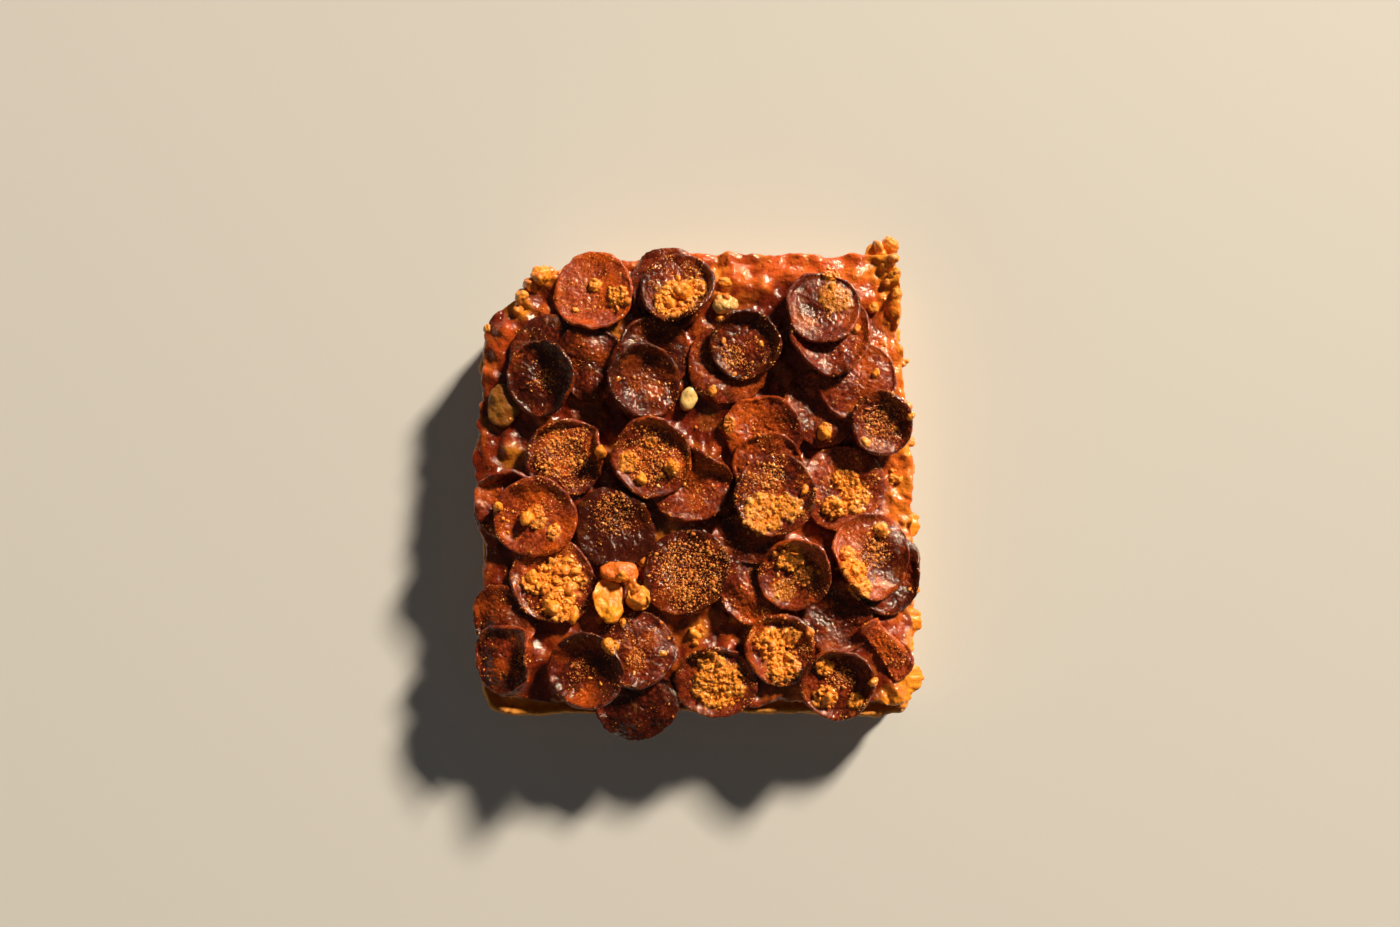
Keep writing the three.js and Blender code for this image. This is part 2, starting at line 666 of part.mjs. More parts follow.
function crumbSpots(piece, pile) {
  const spots = [];
  const tryAt = (x, y, radius) => {
    const clear = spots.every((other) => Math.hypot(x - other[0], y - other[1]) > 0.8 * (radius + other[2]));
    if (clear && pile.shows(piece.name, x, y, radius + CRUMB_CLEARANCE)) spots.push([x, y, radius]);
  };
  for (const [x, y, radius] of piece.heap) tryAt(x, y, radius);
  const wanted = spots.length + piece.crumbs;
  for (let n = 0; n < 80 && spots.length < wanted; n += 1) {
    const seed = 7.3 * piece.seed + n;
    const away = 0.8 * piece.radii[0] * Math.sqrt(draw(seed));
    const angle = 2 * Math.PI * draw(seed + 0.3);
    const radius = lerp(...CRUMB_RADIUS, draw(seed + 0.6));
    tryAt(piece.centre.x + away * Math.cos(angle), piece.centre.y + away * Math.sin(angle), radius);
  }
  return spots;
}

function crumb([x, y, radius], pile) {
  const halfHeight = 0.75 * radius;
  const centre = new THREE.Vector3(x, y, pile.height(x, y) + halfHeight - Math.min(CRUMB_SINK, halfHeight));
  return nugget(centre, [radius, 0.85 * radius, halfHeight], 6 * draw(x + y));
}

// ---- The whole slice ---------------------------------------------------------------------------------

function pizzaSlice() {
  const pile = new Pile();
  const slice = new THREE.Group();
  const addMesh = (name, look, solid) => {
    const mesh = new THREE.Mesh(geometryOf(solid), new THREE.MeshStandardMaterial(LOOKS[look]));
    mesh.name = name;
    slice.add(mesh);
  };

  const slab = { dough: doughSurface(), cheese_layer: cheeseSurface(), sauce_layer: sauceSurface() };
  for (const [name, surface] of Object.entries(slab)) pile.lay(surface, name);
  addMesh("dough", "dough", solidOf(slab.dough.geometry()));
  addMesh("cheese_layer", "cheese", join(solidOf(slab.cheese_layer.geometry()), cheeseCrisps()));
  addMesh("sauce_layer", "sauce", solidOf(slab.sauce_layer.geometry()));

  const pieces = [...MELTED_PATCHES.map(lump), ...PEPPERONI.map(pepperoniSlice), ...LOOSE_CHUNKS.map(lump)];
  const settled = pieces.map((piece) => {
    piece.settle(pile);
    const surface = piece.surface();
    pile.lay(surface, piece.name);
    return { piece, surface };
  });
  for (const { piece, surface } of settled) {
    const crumbs = crumbSpots(piece, pile).map((spot) => crumb(spot, pile));
    addMesh(piece.name, piece.look, join(solidOf(surface.geometry()), crumbs));
  }
  return slice;
}

// Moves the group so that the middle of its box is over the origin.
function centred(group) {
  const middle = new THREE.Box3().setFromObject(group).getCenter(new THREE.Vector3());
  group.position.set(-middle.x, -middle.y, 0);
  return group;
}

export default new THREE.Group().add(centred(pizzaSlice()));
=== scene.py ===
"""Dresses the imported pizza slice: fine dough, cheese, sauce and pepperoni fitted to its solids, the toasted
crumbs of cheese that lie on them, their materials, a pale floor, soft light and a camera above it."""
import itertools
import math

import bmesh
import bpy
import numpy as np
from mathutils import Matrix, Vector
from mathutils.bvhtree import BVHTree


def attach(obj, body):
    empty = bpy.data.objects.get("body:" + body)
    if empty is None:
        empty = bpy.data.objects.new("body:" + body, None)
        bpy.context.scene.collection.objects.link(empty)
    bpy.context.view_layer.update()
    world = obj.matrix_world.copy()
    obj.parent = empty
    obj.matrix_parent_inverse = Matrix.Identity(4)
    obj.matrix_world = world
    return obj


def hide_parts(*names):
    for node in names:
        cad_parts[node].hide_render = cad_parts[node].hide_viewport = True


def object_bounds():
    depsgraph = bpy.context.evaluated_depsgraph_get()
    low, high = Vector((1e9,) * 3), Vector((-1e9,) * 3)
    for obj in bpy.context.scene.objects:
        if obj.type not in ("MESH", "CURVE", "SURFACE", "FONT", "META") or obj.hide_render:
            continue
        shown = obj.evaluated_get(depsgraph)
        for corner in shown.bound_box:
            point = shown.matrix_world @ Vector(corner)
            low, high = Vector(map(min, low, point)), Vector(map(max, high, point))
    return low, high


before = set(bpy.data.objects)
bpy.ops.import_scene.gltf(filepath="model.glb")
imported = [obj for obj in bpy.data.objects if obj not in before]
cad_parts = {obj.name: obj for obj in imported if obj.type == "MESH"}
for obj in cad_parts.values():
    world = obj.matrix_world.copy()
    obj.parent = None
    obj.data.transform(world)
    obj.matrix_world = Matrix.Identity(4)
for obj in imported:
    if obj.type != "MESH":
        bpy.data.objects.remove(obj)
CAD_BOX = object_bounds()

# ---- Sizes, in mm --------------------------------------------------------------------------------------

MM = 0.001
TAU = 2 * math.pi
UP = np.array([0.0, 0.0, 1.0])
SLICE_ORIGIN = np.array([-0.46, 1.98])  # where the places in the tables below are measured from

# The picture's frame, and what was worked out from it.
PICTURE = (1400, 927)
FOCAL_PIXELS = 1500
PIXELS_PER_MM = 3  # at the height of the toppings
CAMERA_TILT = 2  # degrees from straight down
LOOK_AT = (1.0, 6.8, 33.0)

PEPPERONI_THICKNESS = 1.6
PEPPERONI_ROUND = 128  # corners round a slice
UNDER_STEPS = 6
RIM_STEPS = 7
TOP_STEPS = 28
HEADROOM = 3  # above the underside, where the search for what lies under it starts
SETTLE = 2.5  # how far a slice bends down at most to touch what lies under it
GIVE = 1.3  # how far it bends up at most, clear of what it cuts into
GROWTH = 1.06  # of the slices, whose solids keep clear of each other
TOUCH = 0.1  # how far it then sinks in
SLAB_SPACING = 0.45  # between corners round the slab
SAUCE_CORNERS = 760
SAUCE_RINGS = 100
FILL = 3.6  # how far the sauce rises at most to meet the slices that lie on it
RIM_FILL = 1.4  # the same near their rims
STRAY_GOLD = 0.1  # how golden the crumbs outside the heaps are
SAUCE_STREWN = 0.04  # how thickly the sauce is strewn with crumbs
OVERHANG_HEIGHT = 25.5  # of the lumps that stand out past the edge
SKY = 60.0  # the height that rays looking down on the solids start from
CELLAR = 20  # the height, under all the slices, that rays looking up at them start from
DROP_HEIGHT = 80  # the height that crumbs fall from
STEEPEST = 0.35  # the upward share of the slope of the steepest place that a crumb stays on
CRUMB_KINDS = 12  # different shapes of broken crumbs
CRUMB_SIDES = 11  # flat sides of each
WALL_AWAY = 12  # how far outside a wall the rays that look for it start
WALL_DEEP = 8  # how far behind the outline they may still meet it
DOUGH_SECTION = 12.0  # the height where the dough's outline is taken
CHEESE_SECTION = 21.0  # the same for the cheese on it
CRUST_TOP = 23  # the dough's top where no ray meets it
CRUST_EDGE = 2.2  # how far in from the outline the walls' height is measured
LEDGES = (1.8, 2.6, 3.6, 5.0, 7.0, 10.0)  # how far in the rings on the dough's top lie
RIM_WAVES = 7  # round a slice's rim
SHEET_AWAY = 30  # how far under a slice the rays that look for its underside start
DEEPEST_CUP = 12  # how far its underside may lie from flat
SETTLE_REACH = 7  # how far under a slice a thing may lie for the slice to settle on it
NOTHING_NEAR = 9.0  # stands for a larger gap than that

# Each slice of pepperoni, from the lowest up: how light it is, how charred its rim and how thickly strewn
# with grains of cheese. The lightness is partly each slice's own tone and partly painted light and shade,
# darkest on front_edge_hanging as painted shade.
PEPPERONI = {
    "left_edge_lower": (0.1, 0.1, 0.1), "front_edge_hanging": (0.0, 0.5, 0.05),
    "left_edge_middle": (0.35, 0.0, 0.15), "back_left_lower": (0.2, 0.3, 0.1),
    "back_left_gap": (0.2, 0.2, 0.1), "back_lower": (0.35, 0.3, 0.15),
    "back_middle_lower": (0.2, 0.2, 0.25), "back_cup_lower": (0.45, 0.4, 0.15),
    "right_stack_grey": (0.5, 0.2, 0.1), "right_stack_red": (0.5, 0.2, 0.15),
    "middle_stack_bottom": (0.6, 0.1, 0.15), "middle_right": (0.6, 0.2, 0.5),
    "middle_under": (0.6, 0.4, 0.3), "middle_left_dark": (-0.15, 0.5, 0.15),
    "centre_shaded": (0.35, 0.2, 0.3), "centre_shaded_front": (0.35, 0.3, 0.4),
    "right_shaded": (0.2, 0.3, 0.1), "right_edge_lower": (0.3, 0.6, 0.15),
    "right_front_folded": (0.75, 0.0, 0.5), "front_left_back": (0.2, 0.4, 0.6),
    "middle_stack_centre": (0.55, 0.2, 0.35), "back_left_flat": (1.0, 0.0, 0.45),
    "back_tilted": (0.4, 0.7, 0.7), "back_right_lower": (0.5, 0.3, 0.4),
    "back_right_upper": (0.35, 0.1, 0.4), "back_cup": (0.3, 1.0, 0.5), "left_cup": (0.08, 0.15, 0.3),
    "middle_left_cup": (0.0, 0.2, 0.25), "right_edge_small": (0.35, 0.4, 0.4),
    "left_folded": (0.4, 0.2, 0.7), "middle_upper": (0.45, 0.3, 0.6),
    "middle_stack_top": (0.25, 0.3, 0.7), "front_left_crumbed": (0.5, 0.5, 0.8),
    "left_middle_upper": (0.65, 0.2, 0.35), "centre_large": (0.1, 0.3, 0.7),
    "right_large": (0.5, 0.1, 0.4), "right_middle_upper": (0.55, 0.2, 0.5),
    "left_edge_steep": (0.3, 0.1, 0.12), "front_left_cup": (0.1, 0.1, 0.15),
    "front_middle": (0.4, 0.5, 0.9), "front_right_crumbed": (0.5, 0.3, 0.9),
    "front_right_cup": (0.4, 0.4, 0.6),
}

# Folds in slices: which way the bent part lies in degrees from +X, how far from the middle it starts and how
# many degrees it turns up.
FOLDS = {
    "right_front_folded": [(215, 1.5, -80), (40, 4.5, -75)],
    "left_edge_steep": [(10, 7.5, 60)],
    "left_folded": [(5, 9.5, 65)],
    "left_edge_middle": [(100, 6, 60)],
    "middle_under": [(60, 6, 55)],
    "front_edge_hanging": [(270, 4, -22)],
}
FOLD_RADIUS = 1.6

# Heaps of toasted crumbs: x, y, radius and how golden they are, from -1 for brown over 0 for pale to 1.
HEAPS = [
    (-7, 62, 7, 1.0), (-1, 65, 4.5, 1.0), (-11, 61, 4, 0.8), (-34.6, 66.9, 2.6, 0.8),
    (-26.3, 62.7, 3.6, 0.8), (-50.3, 34.5, 4.5, -0.9), (-15.3, 13.2, 3.4, 0.3), (-22, 7.5, 4.5, 0.4),
    (-9, 5.9, 3.6, 1.0), (-15, 8, 10, -0.2), (-45.7, -31.3, 8, 1.0), (-46, -40, 6, 0.9),
    (-54, -33, 4, 0.8), (-47.5, -16.3, 2.5, 0.8), (-38.6, -61.7, 4, -0.8), (-28, -54, 2.6, 0.6),
    (-19.8, -57.8, 4, -0.3), (-58, -57.7, 3.5, -0.6), (-0.5, -50, 3, 0.7), (6.5, -66.7, 8.5, 1.0),
    (5, -60, 5, 0.7), (24.2, -53.4, 5.4, 0.7), (28.6, -60.6, 6, 0.9), (31, -51, 4, 0.5),
    (48.5, -64.4, 4.5, -0.4), (42.7, -71, 4, 0.9), (42.4, -61, 3.4, 0.7), (53, -72, 3, 0.5),
    (51.8, -28.5, 4.6, 1.0), (54, -34, 4, 0.9), (50, -23, 3, 0.7), (61.8, -15.5, 3, 0.6),
    (58, -22, 7, -0.1), (30.8, -24.7, 5, 0.7), (28.6, -35.1, 4.4, 0.2), (35, -30, 4, 0.2),
    (22.5, -9.7, 7.5, 0.5), (30, -8, 5, 0.5), (24, 2, 6, -0.2), (46.3, -7.5, 4, 1.0), (53, -4.2, 5, 0.9),
    (50, 1, 4.5, 0.8), (66.2, 2, 3, 0.8), (45.1, 70.8, 3, 0.9), (46, 62, 5, 0.3), (12, 43, 5.5, 0.0),
    (-3, -30, 12, -0.3), (-3, -33, 8, 0.1), (-45, 10, 11, -0.3), (-46, 14, 6, 0.0), (10, 20, 3, 0.3),
    (18, -50, 3, 0.1), (43, 18, 2.5, 0.8), (-28, -10, 8, -0.7), (-54, -11, 4, 0.4), (61, 20, 8, -0.5),
]

# Single lumps: x, y, radius and how golden they are.
LUMPS = [
    (-4.4, 64.6, 2.6, 1.0), (-8.6, 60.6, 2.2, 1.0), (-34.6, 66.9, 1.6, 0.7), (-41, 58.6, 1.4, 0.3),
    (-26, 34.6, 1.0, 1.0), (-32, 10.7, 2.4, 0.9), (-9, 5.9, 1.9, 1.0), (-18.7, 1.3, 1.8, 1.0),
    (-11.6, 2.7, 1.3, 1.0), (-56.5, -11.5, 2.2, 0.9), (-66, -7.5, 2.2, 0.9), (-47.5, -16.3, 1.4, 0.8),
    (-55, -30.7, 2.3, 1.0), (-47.5, -41.2, 2.9, 1.0), (-40.8, -43.4, 2.5, 1.0), (-42, -34.6, 2.1, 1.0),
    (-50.2, -34.6, 1.9, 1.0), (-45.5, -28.5, 2.3, 1.0), (-18.2, -25.5, 1.5, 0.2),
    (-29.3, -52.3, 1.8, 0.7), (-11.6, -56.7, 1.4, 0.9), (-0.5, -50, 2.2, 0.9), (37.2, -49.2, 2.2, 0.9),
    (42.4, -61, 1.7, 0.9), (42.7, -71, 2.3, 0.9), (57.6, -65.5, 1.7, 1.0), (51.8, -28.5, 2.0, 0.9),
    (54.3, -33.3, 2.0, 0.9), (61.8, -15.5, 1.5, 0.8), (30.8, -24.7, 1.8, 0.8), (25.9, -23.3, 1.2, 0.7),
    (40.2, -29, 1.1, 0.7), (35.8, -1.7, 1.6, 1.0), (46.3, -7.5, 2.0, 0.9), (53, -4.2, 1.8, 0.9),
    (66.2, 2, 2.0, 0.8), (5, 31.4, 1.8, 1.0), (9.9, 62.7, 1.5, 0.7), (9.1, 68.2, 2.2, 0.9),
    (45.1, 70.8, 1.9, 0.8), (45, 66, 1.1, 0.7), (52.9, 51.7, 1.5, 0.9), (43, 16.9, 1.8, 0.7),
    (-19.2, -38.2, 3.3, 0.7), (-21, -34, 2.3, 1.0), (-24.5, -31, 2.0, 0.9), (-32.5, -45.5, 1.5, 1.0),
    (-24.5, -46.5, 1.3, 0.8), (-31, -31, 2.0, 1.0), (-59.2, 63.2, 3.4, 0.8), (-56, 66.8, 3.2, 0.9),
    (-60, 59.2, 2.8, 0.6), (-52.6, 70.4, 3.0, 1.0), (-49.4, 72.2, 2.6, 0.9), (-71, 53, 1.3, 0.5),
    (-46, 71.8, 1.8, 0.9), (8.2, 55.5, 1.8, 0.9), (61.6, 80.4, 2.5, 0.9), (66, 81, 2.7, 1.0),
    (63.4, 77.4, 2.6, 1.0), (66.4, 76, 2.2, 1.0), (66.2, 71, 2.3, 1.0), (67, 65.4, 2.0, 1.0),
    (63.2, 73, 1.6, 0.7), (63.8, 68, 1.4, 0.5), (70.2, 41.5, 1.6, 0.9), (71.8, 14.5, 1.7, 1.0),
    (71, 22.6, 1.5, 0.3), (56, 13.7, 1.4, 0.8), (59.4, 59.6, 1.6, 0.3), (62.8, 47, 1.5, 0.4),
    (59.6, 36.7, 1.3, 0.6), (9, 47.7, 1.1, 0.3), (21.6, 46.7, 1.2, 0.8), (12.3, 36.4, 1.0, 0.7),
]

# Lumps of sauce: x, y, radius and how far they rise.
SAUCE_LUMPS = [
    (-65.5, 52, 5.5, 2.2), (-68, 45.5, 4, 1.6), (-58, 55, 4, 1.6), (-69.5, 37.5, 4, 1.8),
    (-64, 13.5, 5, 1.6), (-69, 5, 4, 1.2), (-53, 67.5, 4, 1.4), (-47, 71, 3.6, 1.2), (13, 70, 5.5, 1.6),
    (23, 66, 6, 1.4), (33, 71, 5, 1.2), (53, 70, 6, 1.5), (60, 61, 4.5, 1.2), (-16, 70.5, 5, 1.8),
    (64, 45, 4.5, 1.2), (63, 8, 4.5, 1.0), (66, -44, 6, 1.0), (66.5, -52, 5, 1.0), (5, 33, 5, 1.2),
    (11, 17, 5, 1.2), (-33, 24, 5, 1.0), (-8, -46, 5, 1.0), (13, -46, 5, 1.2), (-60, -22, 4, 1.0),
    (64.5, 76, 5, 1.8), (66, 69, 4.5, 1.8), (67, 61, 4, 1.3), (-57.5, 64.5, 5, 1.5), (-52, 70, 4.5, 1.3),
]

# Cheese that shows in the sauce: x, y, radius and how crisp and golden it is.
MELTS = [
    (-68, 24, 6, 0.1), (-62, 9, 5, 0.3), (13, -20, 4, 0.4), (46, 10, 5, 0.1), (3, 22, 4, 0.2),
    (-9, -17, 5, 0.3), (8, 66, 4, 0.8), (-60, 60, 5, 0.9), (14, -44, 4, 0.5), (0, -49, 4, 0.5),
    (-27, 52, 4, 0.2), (40, -38, 4, 0.4), (64, 75, 8, 1), (67, 66, 6.5, 1), (68, 56, 5, 1),
    (70, 46, 3, 0.8), (71, 36, 3, 1), (71, 26, 3, 0.8), (71, 12, 3, 1), (71, 0, 3, 0.7), (71, -12, 3, 1),
    (73, -40, 4, 1), (73, -52, 4, 1), (72, -66, 6, 1), (66, -73, 6, 1), (52, -75, 5, 0.8),
    (-51, 72, 5, 1), (-8, 77, 3, 0.7),
]

# Painted light and shade on the slices: x, y, radius and from -1 for painted shade (darker) to 1 for painted
# light (lighter, glowing orange with oil).
LIT_AND_SHADED_PATCHES = [
    (49, -20, 9, 1), (51, -31, 6, 1), (33, -20, 6, 1), (-32.5, 11, 5, 0.8), (-71, -2, 6, 1),
    (-29, 64, 7, 0.8), (-38, 70, 5, 0.7), (-57, -52, 4, 1), (23, 18, 8, 0.7), (-56, -5, 6, 0.3),
    (58, 34, 7, 0.6), (64, -52, 7, 0.8), (-46, -23, 6, 0.7), (-2, 3, 6, 0.8), (47, 4, 6, 0.7),
    (20, -48, 5, 0.6), (-14, 31, 4, 0.8), (43, -55, 4, 0.6), (-36, -70, 4, 0.5), (-16, -52, 4, 0.5),
    (62, -24, 9, -0.8), (36, -30, 6, -0.4), (35, 72, 6, -0.3), (-50, 43, 7, -0.6), (-5, 55, 5, -0.5),
    (10, 56, 5, -0.6), (-38, 0, 7, -0.5), (43, 58, 6, -0.4), (-30, -60, 8, -0.6),
]


def rgb(*values):
    return np.array(values, float)


# Colours, as light in red, green and blue.
PEPPERONI_DARK = rgb(0.055, 0.008, 0.004)
PEPPERONI_MIDDLE = rgb(0.200, 0.026, 0.008)
PEPPERONI_LIGHT = rgb(0.430, 0.078, 0.022)
PEPPERONI_CHAR = rgb(0.036, 0.009, 0.004)
OIL = rgb(0.580, 0.105, 0.011)
SAUCE_DEEP = rgb(0.170, 0.018, 0.004)
SAUCE_BRIGHT = rgb(0.780, 0.140, 0.022)
SAUCE_ORANGE = rgb(0.920, 0.270, 0.030)
MELT = rgb(0.360, 0.140, 0.018)
CRUMB = rgb(0.680, 0.490, 0.250)
CRUST_GOLD = rgb(0.680, 0.280, 0.034)
CRUST_BROWN = rgb(0.260, 0.088, 0.014)
TOAST_PALE = rgb(0.980, 0.460, 0.090)
TOAST_GOLD = rgb(0.990, 0.390, 0.024)
TOAST_DEEP = rgb(0.700, 0.160, 0.013)
CRISP = rgb(0.990, 0.375, 0.030)
TOAST_BROWN = rgb(0.300, 0.085, 0.014)
GARLIC = rgb(0.860, 0.680, 0.300)

random = np.random.default_rng(20260)

# ---- Noise ---------------------------------------------------------------------------------------------


NOISE_TURN = np.array(Matrix.Rotation(1.1, 3, Vector((1, 2, 3))))  # so that the noise shows no grid


def lattice(cells, seed):
    """A repeatable value between 0 and 1 for each place with whole coordinates."""
    mixed = cells @ np.array([374761393, 668265263, 1274126177]) + seed * 974711 + 12345
    mixed = ((mixed ^ (mixed >> 13)) * 1103515245) & 0x7FFFFFFF
    mixed = ((mixed ^ (mixed >> 15)) * 668265263) & 0x7FFFFFFF
    return ((mixed >> 7) & 0xFFFF) / 0xFFFF


def smooth_noise(points, seed):
    base = np.floor(points).astype(np.int64)
    share = points - base
    share = share * share * (3 - 2 * share)
    total = np.zeros(points.shape[:-1])
    for corner in itertools.product((0, 1), repeat=3):
        weight = np.prod(np.where(corner, share, 1 - share), axis=-1)
        total += weight * lattice(base + corner, seed)
    return 2 * total - 1


def fractal(points, size, octaves=3, seed=0):
    """Smooth noise of about -1 to 1, with features `size` mm across and finer ones on them."""
    total = np.zeros(points.shape[:-1])
    for octave in range(octaves):
        points = points @ NOISE_TURN
        total += 0.5**octave * smooth_noise(points * 2**octave / size, seed + octave)
    return total


def near_cells(scaled, seed):
    """The cells in and round each place: their whole coordinates and their uneven middles."""
    base = np.floor(scaled).astype(np.int64)
    for step in itertools.product((-1, 0, 1), repeat=3):
        cell = base + step
        yield cell, cell + np.stack([lattice(cell, seed + 11 * axis) for axis in range(3)], axis=-1)


def cells(points, size, seed):
    """How far the nearest middle of cells about `size` mm across is, in cells."""
    scaled = points / size
    nearest = np.full(points.shape[:-1], 9.0)
    for _, middle in near_cells(scaled, seed):
        nearest = np.minimum(nearest, np.linalg.norm(scaled - middle, axis=-1))
    return nearest


def bubbles(points, size, fullness, seed):
    """How deep round bubbles about `size` mm apart are where a surface cuts them, and 0 between them."""
    scaled = points / size
    depth = np.zeros(points.shape[:-1])
    for cell, middle in near_cells(scaled, seed):
        radius = fullness * (0.35 + 0.65 * lattice(cell, seed + 47))
        hollow = radius**2 - np.sum((scaled - middle) ** 2, axis=-1)
        depth = np.maximum(depth, np.sqrt(np.maximum(hollow, 0)))
    return size * depth


def ramp(value, low, high):
    """0 below `low`, 1 above `high` and smooth between them."""
    share = np.clip((value - low) / (high - low), 0, 1)
    return share * share * (3 - 2 * share)


def pebbles(points, size, seed, low, high):
    """Round bumps about `size` mm apart: 1 on top of each and 0 between them."""
    return ramp(1 - cells(points, size, seed), low, high)


def warp(points, size, seed):
    """Smooth shifts of about -1 to 1 in all three directions."""
    return np.stack([fractal(points, size, 2, seed + axis) for axis in range(3)], axis=-1)


def blend_colours(first, second, share):
    share = np.clip(share, 0, 1)[..., None]
    return first * (1 - share) + second * share


def distance_to(places, x, y):
    """How far each place is, seen from above, from one that is given as in the tables."""
    return np.linalg.norm(places[..., :2] - SLICE_ORIGIN - (x, y), axis=-1)


def thickest(places, table, inner, outer, stray):
    """How thickly the round patches of a table cover each place, and how golden the thickest there is.
    Each fades out from `inner` to `outer` of its radius, and between them all is as golden as `stray`."""
    thickness = np.zeros(places.shape[:-1])
    golden = np.full(places.shape[:-1], stray)
    for x, y, radius, gold in table:
        share = 1 - ramp(distance_to(places, x, y), inner * radius, outer * radius)
        golden = np.where(share > thickness, gold, golden)
        thickness = np.maximum(thickness, share)
    return thickness, golden


def melt_shares(places):
    """How much cheese shows in the sauce at each place, and how golden it is."""
    share, golden = thickest(places, MELTS, 0.5, 1.25, 0.0)
    patchy = ramp(fractal(places, 3.5, 3, 41), -0.45, 0.2)
    return share * np.maximum(patchy, golden * ramp(share, 0.2, 0.6)), golden


def heap_strength(places):
    """How thick the heaps are at each place, and how golden they are there."""
    return thickest(places, HEAPS, 0.45, 1.15, STRAY_GOLD)


# ---- Reading the solids --------------------------------------------------------------------------------


def rows_of(items, name, kind=float):
    """What the items of a mesh say under one name, three numbers each."""
    values = np.empty(len(items) * 3, kind)
    items.foreach_get(name, values)
    return values.reshape(-1, 3)


def corners_and_triangles(mesh):
    """A mesh's corners in mm and its triangles."""
    mesh.calc_loop_triangles()
    return rows_of(mesh.vertices, "co") / MM, rows_of(mesh.loop_triangles, "vertices", int)


def solid(name):
    """The corners in mm and the triangles of a solid."""
    return corners_and_triangles(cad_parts[name].data)


def tree_of(*solids):
    """A search tree of one or more (points, faces)."""
    points, faces, first = [], [], 0
    for corners, triangles in solids:
        points += corners.tolist()
        faces += (np.asarray(triangles) + first).tolist()
        first += len(corners)
    return BVHTree.FromPolygons(points, faces)


def cast(tree, starts, directions):
    """How far each ray goes before it meets the tree, and nan where it doesn't."""
    starts = np.asarray(starts, float)
    directions = np.broadcast_to(directions, starts.shape)
    distances = []
    for start, direction in zip(starts.reshape(-1, 3), directions.reshape(-1, 3)):
        distance = tree.ray_cast(Vector(start), Vector(direction))[3]
        distances.append(math.nan if distance is None else distance)
    return np.array(distances).reshape(starts.shape[:-1])


def section(points, triangles, height):
    """The closed line, anticlockwise, where a level plane cuts a solid."""
    ahead = {}
    for corners in points[triangles]:
        above = corners[:, 2] > height
        if above.all() or not above.any():
            continue
        ends = {}
        for a, b in ((0, 1), (1, 2), (2, 0)):
            if above[a] == above[b]:
                continue
            low, high = (corners[b], corners[a]) if above[a] else (corners[a], corners[b])
            place = low + (high - low) * (height - low[2]) / (high[2] - low[2])
            ends[bool(above[a])] = tuple(np.round(place[:2], 3))
        if ends[True] != ends[False]:
            ahead[ends[True]] = ends[False]
    start = place = next(iter(ahead))
    line = []
    while True:
        line.append(place)
        place = ahead[place]
        if place == start:
            break
    line = np.array(line)
    following = np.roll(line, -1, axis=0)
    area = np.sum(line[:, 0] * following[:, 1] - line[:, 1] * following[:, 0])
    return line if area > 0 else line[::-1]


def respaced(line, count):
    """The same closed line with `count` corners evenly spaced."""
    closed = np.vstack([line, line[:1]])
    along = np.concatenate([[0], np.cumsum(np.linalg.norm(np.diff(closed, axis=0), axis=1))])
    wanted = np.linspace(0, along[-1], count, endpoint=False)
    return np.stack([np.interp(wanted, along, closed[:, axis]) for axis in (0, 1)], axis=1)


def bell(width):
    """The steps each way of a smoothing over about `width` neighbours, and their weights."""
    reach = np.arange(-math.ceil(3 * width), math.ceil(3 * width) + 1)
    weights = np.exp(-0.5 * (reach / width) ** 2)
    return reach, weights / weights.sum()


def evened(values, width):
    """A closed run of values smoothed over about `width` neighbours each way."""
    return sum(weight * np.roll(values, -shift, axis=0) for shift, weight in zip(*bell(width)))


def outline_of(line, count, width):
    """A closed line with `count` corners and its outward normals, both smoothed."""
    line = evened(respaced(line, count), width)
    along = np.roll(line, -1, axis=0) - np.roll(line, 1, axis=0)
    normals = np.stack([along[:, 1], -along[:, 0]], axis=1)
    return line, normals / np.linalg.norm(normals, axis=1, keepdims=True)


class LevelMap:
    """Values on a square grid seen from above, that can be smoothed and read anywhere."""

    def __init__(self, values, low, cell):
        self.values, self.low, self.cell = values, np.array(low), cell

    def smoothed(self, width):
        reach, weights = bell(width)
        values = self.values
        for axis in (0, 1):
            padding = [(0, 0), (0, 0)]
            padding[axis] = (len(reach) // 2,) * 2
            padded = np.pad(values, padding, mode="edge")
            count = values.shape[axis]
            slices = (padded.take(range(i, i + count), axis=axis) for i in range(len(reach)))
            values = sum(weight * part for weight, part in zip(weights, slices))
        return LevelMap(values, self.low, self.cell)

    def at(self, x, y):
        column = np.clip((x - self.low[0]) / self.cell, 0, self.values.shape[1] - 1.001)
        row = np.clip((y - self.low[1]) / self.cell, 0, self.values.shape[0] - 1.001)
        i, j = row.astype(int), column.astype(int)
        s, t = row - i, column - j
        v = self.values
        near = v[i, j] * (1 - t) + v[i, j + 1] * t
        far = v[i + 1, j] * (1 - t) + v[i + 1, j + 1] * t
        return near * (1 - s) + far * s


def level_map(tree, low, high, cell, start, direction, missing):
    """A map of the heights at which upright rays from `start` meet the tree."""
    x = np.arange(low[0], high[0] + cell, cell)
    y = np.arange(low[1], high[1] + cell, cell)
    grid = np.stack(np.meshgrid(x, y), axis=-1)
    starts = np.concatenate([grid, np.full(grid.shape[:2] + (1,), float(start))], axis=-1)
    heights = start + direction * cast(tree, starts, direction * UP)
    return LevelMap(np.where(np.isnan(heights), missing, heights), low, cell)


# ---- Making pieces -------------------------------------------------------------------------------------


def ring_faces(rings, corners):
    """Quads that join rings of corners, with the first and last ring closed."""
    first = np.arange(rings - 1)[:, None] * corners
    here = np.arange(corners)[None, :]
    after = (here + 1) % corners
    quads = np.stack([first + here, first + after, first + corners + after, first + corners + here], axis=-1)
    last = (rings - 1) * corners
    caps = [list(range(corners))[::-1], list(range(last, last + corners))]
    return quads.reshape(-1, 4).tolist() + caps


